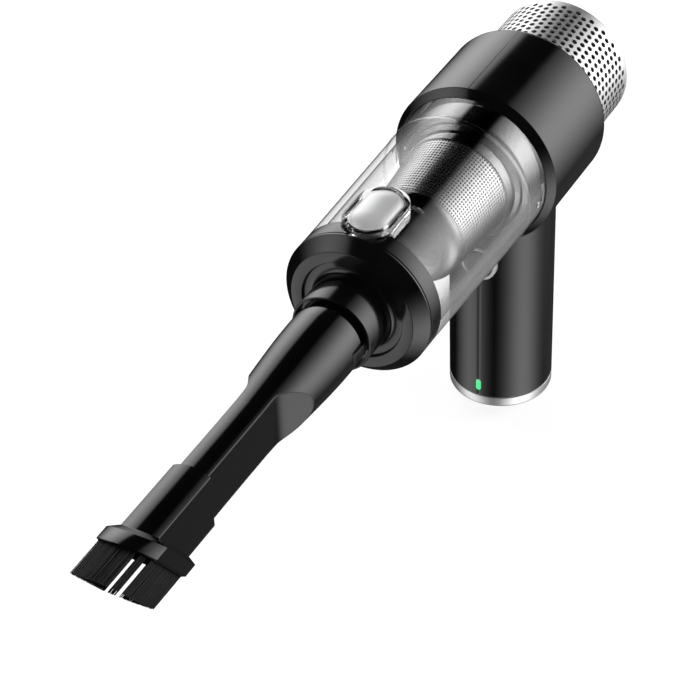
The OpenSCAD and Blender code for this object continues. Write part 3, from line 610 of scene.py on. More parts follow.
def make_drum():
    first, last = HOUSING_REAR + DRUM_RIM, DRUM_END + DRUM_EDGE + DRUM_MARGIN

    def skin(r):
        return lambda u, v: on_body(first + (last - first) * u, r, TURN * v)

    bm = bmesh.new()
    cell = TURN * DRUM_R / DRUM_COLS
    perforate(bm, [skin(DRUM_R), skin(DRUM_IN)], DRUM_ROWS, DRUM_COLS, 2 * DRUM_HOLE_R / cell, stagger=True)
    seat = [(first, DRUM_IN), (DRUM_SEAT, DRUM_IN), (DRUM_SEAT, DRUM_R), (first, DRUM_R)]
    outside = drum_cap(last, DRUM_END, DRUM_R, DRUM_EDGE)
    inside = drum_cap(last, DRUM_END + DRUM_T, DRUM_IN, DRUM_EDGE - DRUM_T)
    for outline in (seat, outside, inside):
        turn(bm, outline, segments=2 * DRUM_COLS, closed=False)
    dress(to_object("drum_perforated", bm), "body", "drum_steel", "exhaust_drum")


make_drum()

# Grip: two shells that meet in a fine groove, with openings for the button, the light and the inlet
GRIP_R = 21.5
GRIP_IN = 19.3
GRIP_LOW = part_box("grip_left")[0].z / MM
GRIP_SINK = 0.05
GROOVE = 0.28
GROOVE_GAP = 0.0356
GROOVE_STEPS = 3
BUTTON_Z = middle_z("power_button")
BEZEL_R = half_width("button_bezel")
LED_Z = middle_z("charge_light")
LED_W, LED_H = 2.3, 5.5
INLET_Z = middle_z("charge_inlet")
INLET_W, INLET_H = 9.5, 3.8


def slot_cutter(name, w, h, z, rear=False, count=48):
    """A level oblong prism through the front of the grip's wall, or its rear."""
    r, straight = min(w, h) / 2, abs(h - w) / 2
    rings = []
    for y in (GRIP_R / 2, 1.5 * GRIP_R) if rear else (-1.5 * GRIP_R, -GRIP_R / 2):
        ring = []
        for k in range(count):
            a = TURN * k / count
            end = straight if math.cos(a) > 0 else -straight
            along, across = end + r * math.cos(a), r * math.sin(a)
            ring.append(Vector((across, y, z + along) if h > w else (along, y, z + across)) * MM)
        rings.append(ring)
    bm = bmesh.new()
    loft(bm, rings, capped=True)
    return to_object(name, bm)


def grip_angles(count=72):
    """Angles round half of the grip, with fine steps in the groove at both ends."""
    gap, groove = GROOVE_GAP / GRIP_R, GROOVE / GRIP_R
    angles = [gap + groove * k / GROOVE_STEPS for k in range(GROOVE_STEPS + 1)]
    far = [math.pi - a for a in reversed(angles)]
    open_part = math.pi - 2 * (gap + groove)
    return angles + [gap + groove + open_part * k / count for k in range(1, count)] + far


def make_grip(side, name, node, levels=40):
    angles = grip_angles()
    rings = []
    for i, a in enumerate(angles):
        near = min(i, len(angles) - 1 - i, GROOVE_STEPS)
        sink = GROOVE * (1 - math.sin(math.pi / 2 * near / GROOVE_STEPS))
        column = []
        for r in (GRIP_R - sink, GRIP_IN):
            rise = saddle(r * math.sin(a), HOUSING_R - GRIP_SINK) - GRIP_LOW
            line = [on_grip(GRIP_LOW + rise * k / levels, r, side * a) for k in range(levels + 1)]
            column.append(line)
        rings.append(column[0] + column[1][::-1])
    bm = bmesh.new()
    loft(bm, rings, capped=True)
    made = to_object(name, bm)
    cut(made,
        slot_cutter("cut_button", 2 * BEZEL_R, 2 * BEZEL_R, BUTTON_Z),
        slot_cutter("cut_light", LED_W, LED_H, LED_Z),
        slot_cutter("cut_inlet", INLET_W, INLET_H, INLET_Z, rear=True))
    dress(made, "body", "shell_black", node)


make_grip(-1, "grip_shell_left", "grip_left")
make_grip(1, "grip_shell_right", "grip_right")

# Foot ring: polished, with a rounded lower edge and a fine groove under the grip
FOOT_H = 5.3
FOOT_IN = 17.5
FOOT_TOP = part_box("foot_ring")[1].z / MM
FOOT_FIT = 0.05
FOOT_GROOVE_H = 0.5
FOOT_GROOVE_D = 0.3
FOOT_GROOVE_SLOPE = 0.1


def make_foot_ring():
    groove_r, collar_r = GRIP_R - FOOT_GROOVE_D, GRIP_IN - FOOT_FIT
    groove_low = FOOT_H - FOOT_GROOVE_H
    bm = bmesh.new()
    turn(bm, rounded([
        (0.0, FOOT_IN, 0.2),
        (0.0, GRIP_R, 1.3),
        (groove_low, GRIP_R, 0.15),
        (groove_low + FOOT_GROOVE_SLOPE, groove_r, 0),
        (FOOT_H, groove_r, 0),
        (FOOT_H, collar_r, 0),
        (FOOT_TOP, collar_r, 0.2),
        (FOOT_TOP, FOOT_IN, 0.2),
    ]), spot=on_grip)
    dress(to_object("foot_band", bm), "body", "polished", "foot_ring")


make_foot_ring()

# Power button: a dished cap in a bright ring
BUTTON_R = half_width("power_button")
BUTTON_GAP = 0.3
BUTTON_EDGE = 0.5
BUTTON_CREST_R = 0.62 * BUTTON_R
BUTTON_DISH_R = 0.5 * BUTTON_R
BUTTON_DISH = 0.35
BUTTON_MIDDLE = 0.45
BEZEL_FIT = 0.03


def on_button(y, r, a):
    """Point y ahead of the grip's axis and r off the button's own axis."""
    return Vector((r * math.sin(a), -y, BUTTON_Z + r * math.cos(a))) * MM


def make_button_ring():
    back, front = reach("button_bezel")
    inner, outer = BUTTON_R + BUTTON_GAP, BEZEL_R - BEZEL_FIT
    bm = bmesh.new()
    turn(bm, rounded([(back, inner, 0), (back, outer, 0), (front, outer, 0.55), (front, inner, 0.3)]),
         spot=on_button, segments=96)
    dress(to_object("button_ring", bm), "body", "bright", "button_bezel")


def make_button_cap():
    back, front = reach("power_button")
    bm = bmesh.new()
    turn(bm, rounded([
        (back, 0, 0),
        (back, BUTTON_R, 0.1),
        (front - BUTTON_EDGE, BUTTON_R, 0.8),
        (front, BUTTON_CREST_R, 1.5),
        (front - BUTTON_DISH, BUTTON_DISH_R, 1.0),
        (front - BUTTON_MIDDLE, 0, 0),
    ], closed=False), spot=on_button, segments=96, closed=False)
    dress(to_object("button_cap", bm), "power_button", "button_dark", "power_button")


make_button_ring()
make_button_cap()

# Release button's outline, which the cup and the nose are cut to
RELEASE_S = 106.0
RELEASE_W = 2 * half_width("release_button")
RELEASE_L = reach("release_button")[1] - reach("release_button")[0]
BEZEL_GAP = 2.5
BEZEL_PLAY = 0.05
NOTCH_PLAY = 0.3
CUT_LOW, CUT_HIGH = 10, 40


def oblong_rings(grow, levels, count=96):
    """Rings of the button's outline, grown, one for each (height above the body's axis, inset)."""
    straight = (RELEASE_L - RELEASE_W) / 2
    lift = Vector((0, 0, AXIS_Z))
    rings = []
    for height, inset in levels:
        r = RELEASE_W / 2 + grow - inset
        ring = []
        for k in range(count):
            a = TURN * k / count
            end = straight if math.cos(a) > 0 else -straight
            y = -RELEASE_S - end - r * math.cos(a)
            ring.append(Vector((r * math.sin(a), y, height)) * MM + lift)
        rings.append(ring)
    return rings


def bezel_cutter(name, play):
    """A solid upright oblong a little wider than the release button's frame."""
    bm = bmesh.new()
    loft(bm, oblong_rings(BEZEL_GAP + play, [(CUT_LOW, 0), (CUT_HIGH, 0)]), capped=True)
    return to_object(name, bm)


# Dust cup: clear, with a flat bead near the housing, twist marks and hinge knuckles
CUP_REAR, CUP_FRONT = reach("dust_cup")
CUP_R = 31.0
CUP_FRONT_R = 29.5
CUP_WALL = 2.5
CUP_BEND = 3.0
BEAD_S = 42.0
BEAD_W = 2.0
BEAD_H = 0.3
BEAD_GAP = 0.03
MARK_H = 0.4
MARK_BARS = ((-4.5, 4.5, 30.0, 31.6), (-4.5, -2.5, 31.6, 35.0))
HINGE_Z = -CUP_FRONT_R - 2.4
PIN_R = 0.85
KNUCKLE_R = 2.0
KNUCKLES = ((-5.0, -2.3), (2.3, 5.0))
KNUCKLE_REACH = (CUP_FRONT - 5.0, CUP_FRONT - 0.1)
WEB_LOW = HINGE_Z + 0.9 * KNUCKLE_R
WEB_HIGH = KNUCKLE_R - CUP_FRONT_R - 0.3


def cup_at(s):
    """Outer radius of the cup at a place along the body."""
    return CUP_R - (CUP_R - CUP_FRONT_R) * max(0.0, s - HOUSING_LIP) / (CUP_FRONT - HOUSING_LIP)


def make_cup_wall():
    rear_in, front_in = CUP_R - CUP_WALL, CUP_FRONT_R - CUP_WALL
    bm = bmesh.new()
    turn(bm, rounded([
        (CUP_REAR, rear_in, 0.4),
        (CUP_REAR, CUP_R, 0.6),
        (HOUSING_LIP, CUP_R, CUP_BEND),
        (CUP_FRONT, CUP_FRONT_R, 0.35),
        (CUP_FRONT, front_in, 0.35),
        (HOUSING_LIP, rear_in, CUP_BEND),
    ]), segments=FINE_TURN)
    made = to_object("cup_clear", bm)
    cut(made, bezel_cutter("cut_bezel", BEZEL_PLAY))
    dress(made, "cup", "clear", "dust_cup", material=CLEAR_WALL)


def make_cup_bead():
    rear, front = BEAD_S - BEAD_W / 2, BEAD_S + BEAD_W / 2
    low = cup_at(BEAD_S) + BEAD_GAP
    high = low + BEAD_H
    bm = bmesh.new()
    turn(bm, rounded([(rear, low, 0.05), (rear, high, 0.3), (front, high, 0.3), (front, low, 0.05)]),
         segments=FINE_TURN)
    dress(to_object("cup_bead", bm), "cup", "clear", material=CLEAR_WALL)


def add_knuckle(bm, x_from, x_to, s_from, s_to, count=32):
    """A hinge knuckle under the front edge of the cup, with a web up to the wall."""
    angles = [TURN * k / count for k in range(count)]
    rings = []
    for x, r in ((x_from, PIN_R), (x_from, KNUCKLE_R), (x_to, KNUCKLE_R), (x_to, PIN_R)):
        rings.append([off_axis(x, CUP_FRONT - r * math.sin(a), HINGE_Z + r * math.cos(a)) for a in angles])
    loft(bm, rings, closed=True)
    add_block(bm, off_axis(x_from, s_to, WEB_LOW), off_axis(x_to, s_from, WEB_HIGH))


def make_cup_knuckles():
    bm = bmesh.new()
    for x_from, x_to in KNUCKLES:
        add_knuckle(bm, x_from, x_to, *KNUCKLE_REACH)
    dress(to_object("cup_knuckles", bm), "cup", "clear")


def make_cup_marks():
    bm = bmesh.new()
    for side in (-1, 1):
        for low, high, rear, front in MARK_BARS:
            levels = [(s, cup_at(s) + BEAD_GAP, cup_at(s) + MARK_H) for s in (rear, front)]
            add_plate(bm, levels, side * math.pi / 2 - low / CUP_R, side * math.pi / 2 - high / CUP_R)
    dress(to_object("cup_marks", bm), "cup", "clear", crease=20)


make_cup_wall()
make_cup_bead()
make_cup_knuckles()
make_cup_marks()

# Release button: a bright pebble in a clear frame
PEBBLE_DOME = 3.3
PEBBLE_FOOT = 0.3
PEBBLE_TOP = 0.05
FRAME_EDGE = 0.5


def make_pebble(steps=18):
    low, top = [(corner.z - AXIS_Z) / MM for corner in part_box("release_button")]
    edge = top - PEBBLE_DOME
    levels = [(low, PEBBLE_FOOT), (low, 0.0)]
    for k in range(steps + 1):
        a = math.pi / 2 * k / steps
        levels.append((edge + PEBBLE_DOME * math.sin(a), (RELEASE_W / 2 - PEBBLE_TOP) * (1 - math.cos(a))))
    bm = bmesh.new()
    loft(bm, oblong_rings(0, levels), capped=True)
    dress(to_object("release_pebble", bm), "release_button", "bright", "release_button", crease=60)


def make_release_frame():
    made = copy_of("release_bezel", "release_frame")
    soften(made, FRAME_EDGE)
    dress(made, "cup", "clear", "release_bezel")


make_pebble()
make_release_frame()

# Filter: plated base and end cap, and a steel mesh cone with real openings over a dark sheet of painted
# shade
MESH_REAR, MESH_FRONT = reach("filter_mesh")
MESH_R0 = 22.0
MESH_R1 = 19.5
MESH_T = 0.1
MESH_HOLE = 0.72
MESH_ROWS = 21
MESH_COLS = 104
SHADE_SHEET_END = 0.2
SHADE_SHEET_GAP = 0.12
SHADE_SHEET_T = 0.2
PLATED_EDGE = 0.4
RIM_R = 27.7
RIM_REAR, RIM_FRONT = 25.0, 34.4
RIM_SLOPE = 2.2
RIM_TAPER = 0.9
RIM_IN = 25.0
RIM_BACK = 0.5


def make_mesh():
    length, taper = MESH_FRONT - MESH_REAR, MESH_R1 - MESH_R0

    def skin(sink):
        return lambda u, v: on_body(MESH_REAR + length * u, MESH_R0 + taper * u - sink, TURN * v)

    bm = bmesh.new()
    perforate(bm, [skin(0.0), skin(MESH_T)], MESH_ROWS, MESH_COLS, MESH_HOLE)
    dress(to_object("mesh_cone", bm), "filter", "mesh_steel", "filter_mesh")


# A dark sheet under the mesh, in the foam finish, that paints the shade seen through the holes in place of
# the pale pleats
def make_painted_shade_sheet():
    rear, front = MESH_REAR + SHADE_SHEET_END, MESH_FRONT - SHADE_SHEET_END
    sink = MESH_T + SHADE_SHEET_GAP
    deep = sink + SHADE_SHEET_T
    bm = bmesh.new()
    turn(bm, [
        (rear, MESH_R0 - sink),
        (front, MESH_R1 - sink),
        (front, MESH_R1 - deep),
        (rear, MESH_R0 - deep),
    ], segments=MESH_COLS)
    dress(to_object("mesh_shade_sheet", bm), "filter", "foam")


def make_plated(node, name):
    made = copy_of(node, name)
    soften(made, PLATED_EDGE)
    dress(made, "filter", "filter_grey", node)


def make_filter_rim():
    bm = bmesh.new()
    turn(bm, rounded([
        (RIM_REAR, RIM_IN, 0.2),
        (RIM_REAR, RIM_R, 0.4),
        (RIM_FRONT, RIM_R - RIM_TAPER, 0.7),
        (RIM_FRONT + RIM_SLOPE, RIM_IN, 0.3),
        (RIM_FRONT, RIM_IN - RIM_BACK, 0.2),
    ]))
    dress(to_object("filter_rim", bm), "filter", "filter_grey")


make_mesh()
make_painted_shade_sheet()
make_plated("filter_frame", "filter_base")
make_plated("filter_cap", "filter_end")
make_filter_rim()

# Nose: a lid with two bands, and a face with a stub in a shallow moat
NOSE_R = CUP_FRONT_R
NOSE_IN = 25.4
NOSE_REAR = CUP_FRONT + 0.3
NOSE_BAND = 121.0
NOSE_GROOVE = 0.4
NOSE_SLOPE = NOSE_BAND + 0.8
NOSE_FACE = 126.5
NOSE_FACE_R = 24.8
NOSE_INSIDE = 123.5
NOSE_INSIDE_R = 21.8
MOAT_R = 20.4
MOAT_SLOPE = 0.3
MOAT_FLOOR = NOSE_FACE - 1.3
STUB_FRONT = reach("nose_cap")[1]
STUB_R = 15.8
STUB_ROOT = 2.0
RECESS_REAR = STUB_FRONT - 3.0
RECESS_R = 14.9
SPIGOT_REAR = 121.0
SPIGOT_HOLE = 12.85
SPIGOT_STOP = SPIGOT_REAR - 0.3
TUBE_R = 14.5
TUBE_BORE = 11.4
TUBE_REAR = CUP_FRONT + 0.5
NOSE_KNUCKLE = 2.0
NOSE_KNUCKLE_REACH = (NOSE_REAR + 0.3, NOSE_REAR + 3.0)
EAR_FROM, EAR_TO = 5.3, 7.3
EAR_FRONT = TUBE_REAR + 3.0
EAR_TOP = 18.3
EAR_BLOCKS = ((TUBE_REAR - 3.4, TUBE_R - 0.3), (TUBE_REAR, TUBE_R - 3.0))


def notch_cutter():
    """The release frame's outline, as deep as the cup's wall only."""
    notch = bezel_cutter("cut_notch", NOTCH_PLAY)
    core = CUP_FRONT_R - CUP_WALL - NOTCH_PLAY
    rear, front = RELEASE_S - RELEASE_L, RELEASE_S + RELEASE_L
    bm = bmesh.new()
    turn(bm, [(rear, 0), (rear, core), (front, core), (front, 0)], closed=False)
    cut(notch, to_object("cut_core", bm))
    return notch


def make_nose_shell():
    groove_r = NOSE_R - NOSE_GROOVE
    bm = bmesh.new()
    turn(bm, rounded([
        (NOSE_REAR, NOSE_IN, 0.2),
        (NOSE_REAR, NOSE_R, 0.3),
        (NOSE_BAND - NOSE_GROOVE, NOSE_R, 0.15),
        (NOSE_BAND - NOSE_GROOVE, groove_r, 0),
        (NOSE_BAND, groove_r, 0),
        (NOSE_BAND, NOSE_R, 0.15),
        (NOSE_SLOPE, NOSE_R, 0.3),
        (NOSE_FACE, NOSE_FACE_R, 0.5),
        (NOSE_FACE, MOAT_R, 0.3),
        (MOAT_FLOOR, MOAT_R - MOAT_SLOPE, 0.4),
        (MOAT_FLOOR, STUB_R, STUB_ROOT),
        (STUB_FRONT, STUB_R, 0.4),
        (STUB_FRONT, RECESS_R, 0.3),
        (RECESS_REAR, RECESS_R, 0),
        (RECESS_REAR, SPIGOT_HOLE, 0),
        (SPIGOT_STOP, SPIGOT_HOLE, 0),
        (SPIGOT_STOP, TUBE_BORE, 0),
        (TUBE_REAR, TUBE_BORE, 0.2),
        (TUBE_REAR, TUBE_R, 0.2),
        (NOSE_INSIDE, TUBE_R, 0.5),
        (NOSE_INSIDE, NOSE_INSIDE_R, 0.5),
        (NOSE_BAND, NOSE_IN, 0.5),
    ]), segments=FINE_TURN)
    made = to_object("nose_shell", bm)
    cut(made, notch_cutter())
    dress(made, "nose", "nose_black", "nose_cap", crease=30)


def make_nose_hinge():
    bm = bmesh.new()
    add_knuckle(bm, -NOSE_KNUCKLE, NOSE_KNUCKLE, *NOSE_KNUCKLE_REACH)
    for x_from, x_to in ((-EAR_TO, -EAR_FROM), (EAR_FROM, EAR_TO)):
        for rear, low in EAR_BLOCKS:
            add_block(bm, off_axis(x_from, EAR_FRONT, low), off_axis(x_to, rear, EAR_TOP))
    dress(to_object("nose_hinge", bm), "nose", "nose_black", "nose_cap", crease=30)


make_nose_shell()
make_nose_hinge()

# Nozzle: round at the rear, then tapered, with a ramp into a flat on each side and a slanted mouth
NOZZLE_R = 14.0
NOZZLE_WALL = 1.3
NOZZLE_SHOULDER = 144.4
NOZZLE_EDGE = 0.4
SPIGOT_R = 12.8
SPIGOT_BORE = 11.1
CROWN_R = 11.4
FLAT_X = 5.7
TAPER_FROM, TAPER_TO = 150.0, 206.0
RAMP_FROM, RAMP_TO = 175.0, 190.0
RAMP_BLEND = 0.5
STRAIGHT_FROM = 212.0
TAPER_STATIONS = [TAPER_FROM + 4 * k for k in range(6)]
RAMP_STATIONS = [RAMP_FROM - 1 + 0.75 * k for k in range(34)]
MOUTH_S = 268.8
MOUTH_EDGE = 0.3
SLANT = math.tan(math.radians(36))
TAB_HALF = 2.4
TAB_LEVELS = ((142.8, 13.4, 14.5), (143.4, 13.4, 14.8), (149.6, 13.4, 14.6), (151.2, 13.4, 14.1))


def nozzle_size(s):
    """Crown radius and half width of the nozzle at a place along the body."""
    t = min(1.0, max(0.0, (s - TAPER_FROM) / (TAPER_TO - TAPER_FROM)))
    r = NOZZLE_R + (CROWN_R - NOZZLE_R) * t * t * (3 - 2 * t)
    ramp = NOZZLE_R + (FLAT_X - NOZZLE_R) * (s - RAMP_FROM) / (RAMP_TO - RAMP_FROM)
    x = FLAT_X + RAMP_BLEND * math.log(1 + math.exp((ramp - FLAT_X) / RAMP_BLEND))
    return r, min(x, r)


def shoulder_rings(steps=4):
    """Rings of the spigot and of the rounded shoulder in front of it."""
    rings = [
        bar_ring(SPIGOT_REAR, SPIGOT_BORE),
        bar_ring(SPIGOT_REAR, SPIGOT_R - NOZZLE_EDGE),
        bar_ring(SPIGOT_REAR + NOZZLE_EDGE, SPIGOT_R),
        bar_ring(NOZZLE_SHOULDER, SPIGOT_R),
    ]
    for k in range(steps + 1):
        a = math.pi / 2 * k / steps
        ahead, inset = NOZZLE_EDGE * (1 - math.cos(a)), NOZZLE_EDGE * (1 - math.sin(a))
        rings.append(bar_ring(NOZZLE_SHOULDER + ahead, NOZZLE_R - inset))
    return rings


def make_nozzle():
    stations = TAPER_STATIONS + RAMP_STATIONS + [STRAIGHT_FROM]
    rings = shoulder_rings()
    rings += [bar_ring(s, *nozzle_size(s)) for s in stations]
    for back, inset in ((MOUTH_EDGE, 0.0), (0.0, MOUTH_EDGE), (0.0, NOZZLE_WALL)):
        rings.append(bar_ring(MOUTH_S - back, CROWN_R - inset, FLAT_X - inset, slant=SLANT))
    for s in reversed(stations):
        r, x = nozzle_size(s)
        rings.append(bar_ring(s, r - NOZZLE_WALL, x - NOZZLE_WALL))
    rings.append(bar_ring(NOZZLE_SHOULDER, NOZZLE_R - NOZZLE_WALL))
    rings.append(bar_ring(NOZZLE_SHOULDER, SPIGOT_BORE))
    bm = bmesh.new()
    loft(bm, rings, closed=True)
    half = TAB_HALF / NOZZLE_R
    for middle in (-math.pi / 2, math.pi / 2):
        add_plate(bm, TAB_LEVELS, middle - half, middle + half)
    dress(to_object("nozzle_tube", bm), "nozzle", "gloss_black", "nozzle", crease=30)


make_nozzle()


# Brush: a sleeve on the nozzle with a slanted collar, a backing and bristles in three groups
def grown(size, more):
    """A (crown radius, half width) made larger."""
    return size[0] + more, size[1] + more


SLEEVE_REAR = reach("brush_collar")[0]
SLEEVE_EDGE = 0.25
SLIDE_BORE = grown((CROWN_R, FLAT_X), 0.3)
SLEEVE = grown(SLIDE_BORE, 1.2)
COLLAR = (15.2, 11.4)
COLLAR_FRONT = 270.0
COLLAR_T = 7.0
COLLAR_EDGE = 0.3
COLLAR_SINK = 0.7
SHOULDER_T = 2.4
SHOULDER_FILLET = 0.15
SHOULDER_LOW = (SLEEVE[0] + 0.15, SLEEVE[1] + 0.2)
SHOULDER_HIGH = (COLLAR[0] - 0.2, COLLAR[1] - 0.4)
BACKING_T = 1.2
BACKING_SINK = 0.3
BACKING_INSET = 0.7
BACKING_PLAY = 0.05
BRISTLE_L = 16.5
STRAND_R = 0.2
STRAND_PITCH = 0.52
STRAND_STRAY = 0.1
STRAND_LEAN = 0.06
STRAND_SHORT = 0.985
STRAND_TAPER = 0.25
GROUP_LEAN = math.radians(32)
GROUP_GAPS = ((1.2, 1.9), (-2.6, -1.65))


def slanted_ring(back, r, x):
    """Ring of the collar at a distance behind its slanted front."""
    return bar_ring(COLLAR_FRONT - back, r, x, slant=SLANT)


def make_brush_holder():
    foot = COLLAR_T + SHOULDER_T
    bm = bmesh.new()
    loft(bm, [
        bar_ring(SLEEVE_REAR, *SLIDE_BORE),
        bar_ring(SLEEVE_REAR, *grown(SLEEVE, -SLEEVE_EDGE)),
        bar_ring(SLEEVE_REAR + SLEEVE_EDGE, *SLEEVE),
        slanted_ring(foot + SHOULDER_FILLET, *SLEEVE),
        slanted_ring(foot, *SHOULDER_LOW),
        slanted_ring(COLLAR_T + COLLAR_EDGE, *SHOULDER_HIGH),
        slanted_ring(COLLAR_T, *COLLAR),
        slanted_ring(COLLAR_SINK + COLLAR_EDGE, *COLLAR),
        slanted_ring(COLLAR_SINK, *grown(COLLAR, -COLLAR_EDGE)),
        slanted_ring(COLLAR_SINK, *SLIDE_BORE),
    ], closed=True)
    dress(to_object("brush_holder", bm), "brush", "gloss_black", "brush_collar", crease=30)


def make_brush_backing():
    edge, hole = grown(COLLAR, -BACKING_INSET), grown(SLIDE_BORE, BACKING_PLAY)
    bm = bmesh.new()
    loft(bm, [
        slanted_ring(BACKING_T, *hole),
        slanted_ring(BACKING_T, *edge),
        slanted_ring(BACKING_SINK, *edge),
        slanted_ring(BACKING_SINK, *hole),
    ], closed=True)
    dress(to_object("brush_backing", bm), "brush", "gloss_black", "brush_bristles")


def add_strand(bm, dice, x, z, sides=5, levels=3):
    """One bristle, which leans a little and thins towards its tip."""
    lean = (dice.gauss(0, STRAND_LEAN), dice.gauss(0, STRAND_LEAN))
    root = COLLAR_FRONT + z * SLANT - BACKING_T / 2
    length = BRISTLE_L * dice.uniform(STRAND_SHORT, 1.0) + BACKING_T / 2
    angles = [TURN * j / sides for j in range(sides)]
    rings = []
    for k in range(levels + 1):
        t = k / levels
        r = STRAND_R * (1.0 - STRAND_TAPER * t)
        cx, cz = x + lean[0] * t * t, z + lean[1] * t * t
        s = root + length * t
        rings.append([off_axis(cx + r * math.cos(a), s, cz + r * math.sin(a)) for a in angles])
    loft(bm, rings, capped=True)


def in_bar(x, z, size):
    """Whether a point is inside a flat-sided section."""
    r, half = size
    return abs(x) < half and math.hypot(x, z) < r


def in_gap(x, z):
    """Whether a point is in one of the gaps between the groups of bristles."""
    across = z * math.sin(GROUP_LEAN) - x * math.cos(GROUP_LEAN)
    return any(low - STRAND_R < across < high + STRAND_R for low, high in GROUP_GAPS)


def make_bristles():
    dice = random.Random(7)
    bm = bmesh.new()
    margin = BACKING_INSET + 2 * STRAND_R
    outside, inside = grown(COLLAR, -margin), grown((CROWN_R, FLAT_X), margin)
    count = int(COLLAR[0] / STRAND_PITCH)
    for i in range(-count, count + 1):
        for j in range(-count, count + 1):
            x = i * STRAND_PITCH + dice.uniform(-STRAND_STRAY, STRAND_STRAY)
            z = j * STRAND_PITCH + dice.uniform(-STRAND_STRAY, STRAND_STRAY)
            if in_bar(x, z, outside) and not in_bar(x, z, inside) and not in_gap(x, z):
                add_strand(bm, dice, x, z)
    dress(to_object("brush_strands", bm), "brush", "bristle", "brush_bristles")


make_brush_holder()
make_brush_backing()
make_bristles()

# Stage, in metres: a pale floor, a studio surround that gloss reflects, and soft lamps
FLOOR_SIZE = 4.0
FLOOR_GLOW = 0.82
FLOOR_SHADE = grey(0.28)
FLOOR_COLOUR = grey(0.8)
SURROUND_LIGHT = 0.35
SURROUND_BASE = 0.008
SOFT_FADE = 0.06
SOFT_LIGHTS = (
    # direction, tightness, level
    ((-0.67, 0.675, 0.31), 9.6, 3.1),
    ((0.715, 0.675, 0.178), 7.6, 3.9),
    ((-0.77, -0.46, 0.44), 9.0, 2.0),
    ((-0.529, -0.567, -0.63), 11.0, 1.8),
    ((0.74, -0.23, -0.63), 8.5, 2.8),
    ((0.434, 0.579, -0.689), 6.0, 0.12),
)
DARK_STRIP = math.radians(-10)
DARK_STRIP_IN = math.radians(20)
DARK_STRIP_OUT = math.radians(30)
DARK_STRIP_LEAST = 0.02
LAMP_AIM = Vector((0.0, -0.08, 0.1))
LAMPS = (
    # name, place, width, height, watts
    ("lamp_left", (-0.75, 0.55, 0.42), 0.9, 0.55, 8.0),
    ("lamp_right", (0.42, 0.6, 0.75), 0.3, 0.9, 4.0),
    ("lamp_front", (0.25, -1.0, 0.9), 0.8, 0.5, 4.0),
)


def floor_material():
    """A white that shows soft shadows, and lights the object as a plain pale floor does."""
    material, tree, shader, output = new_material("floor")
    tree.nodes.remove(shader)
    plain = add_node(tree, "BsdfDiffuse", Color=(*FLOOR_COLOUR, 1))
    shade = add_node(tree, "BsdfDiffuse", Color=(*FLOOR_SHADE, 1))
    glow = add_node(tree, "Emission", Strength=FLOOR_GLOW)
    seen = add_node(tree, "AddShader")
    tree.links.new(shade.outputs["BSDF"], seen.inputs[0])
    tree.links.new(glow.outputs["Emission"], seen.inputs[1])
    diffuse = add_node(tree, "LightPath").outputs["Is Diffuse Ray"]
    mixed = mix_shaders(tree, diffuse, seen.outputs["Shader"], plain.outputs["BSDF"])
    tree.links.new(mixed, output.inputs["Surface"])
    return material


def make_floor():
    bm = bmesh.new()
    bmesh.ops.create_grid(bm, x_segments=1, y_segments=1, size=FLOOR_SIZE)
    floor = to_object("floor", bm)
    floor.visible_glossy = False
    floor.data.materials.append(floor_material())


def off_dark_strip(tree, facing):
    """Least in the dark strip overhead, which runs along the body, and 1 well off it."""
    parts = add_node(tree, "SeparateXYZ")
    tree.links.new(facing, parts.inputs[0])
    lean = add_math(tree, "ARCTAN2", parts.outputs["X"], parts.outputs["Z"])
    off = add_math(tree, "ABSOLUTE", add_math(tree, "SUBTRACT", lean, DARK_STRIP))
    edge = add_node(tree, "MapRange", From_Min=DARK_STRIP_IN, From_Max=DARK_STRIP_OUT,
                    To_Min=DARK_STRIP_LEAST)
    edge.interpolation_type = "SMOOTHSTEP"
    tree.links.new(off, edge.inputs["Value"])
    return edge.outputs["Result"]


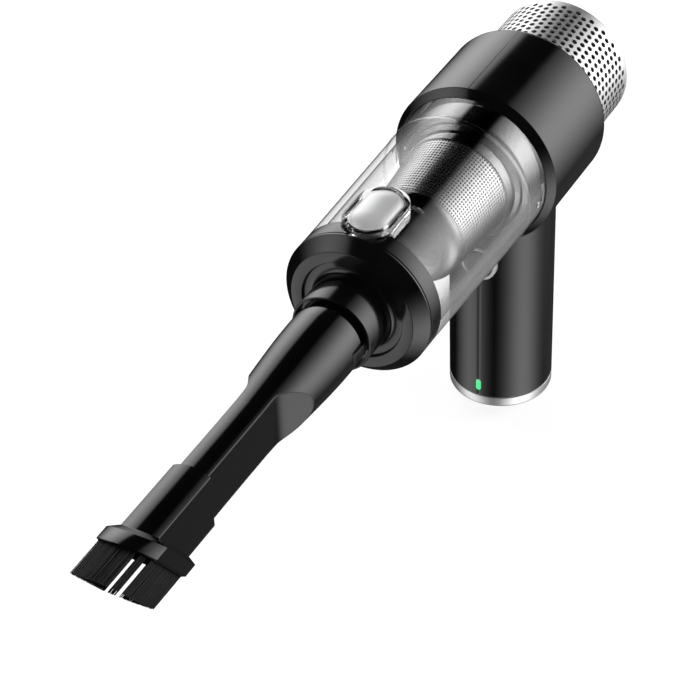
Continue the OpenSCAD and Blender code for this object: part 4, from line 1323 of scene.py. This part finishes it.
def add_soft_lights(tree):
    """Brightness of the studio's soft lights in each direction."""
    facing = add_node(tree, "TexCoord").outputs["Generated"]
    total = SURROUND_BASE
    for direction, tightness, level in SOFT_LIGHTS:
        dot = add_node(tree, "VectorMath")
        dot.operation = "DOT_PRODUCT"
        dot.inputs[1].default_value = Vector(direction).normalized()
        tree.links.new(facing, dot.inputs[0])
        fall = add_math(tree, "MULTIPLY_ADD", dot.outputs["Value"], tightness, -tightness)
        glow = add_math(tree, "SUBTRACT", add_math(tree, "EXPONENT", fall), SOFT_FADE)
        total = add_math(tree, "MULTIPLY_ADD", add_math(tree, "MAXIMUM", glow, 0.0), level, total)
    return add_math(tree, "MULTIPLY", total, off_dark_strip(tree, facing))


def add_mix(tree, share, low, high):
    """low where share is 0 and high where it is 1."""
    return add_math(tree, "MULTIPLY_ADD", add_math(tree, "SUBTRACT", high, low), share, low)


def make_world():
    """White behind the object, soft lights in its reflections, and an even light on the rest."""
    world = bpy.data.worlds.new("surround")
    bpy.context.scene.world = world
    world.use_nodes = True
    tree = world.node_tree
    shader = tree.nodes["Background"]
    shader.inputs["Color"].default_value = (1, 1, 1, 1)
    path = add_node(tree, "LightPath").outputs
    through = add_math(tree, "MAXIMUM", path["Is Camera Ray"], path["Is Transmission Ray"])
    seen = add_math(tree, "MAXIMUM", through, path["Is Glossy Ray"])
    mirrored = add_math(tree, "GREATER_THAN", path["Glossy Depth"], 0.5)
    shown = add_mix(tree, mirrored, 1.0, add_soft_lights(tree))
    tree.links.new(add_mix(tree, seen, SURROUND_LIGHT, shown), shader.inputs["Strength"])


def make_lamp(name, place, width, height, watts):
    data = bpy.data.lights.new(name, "AREA")
    data.shape = "RECTANGLE"
    data.size = width
    data.size_y = height
    data.energy = watts
    lamp = bpy.data.objects.new(name, data)
    lamp.location = place
    lamp.rotation_euler = (LAMP_AIM - Vector(place)).to_track_quat("-Z", "Y").to_euler()
    lamp.visible_glossy = False
    bpy.context.scene.collection.objects.link(lamp)


make_floor()
make_world()
for lamp in LAMPS:
    make_lamp(*lamp)

bpy.context.scene.view_settings.view_transform = "Standard"
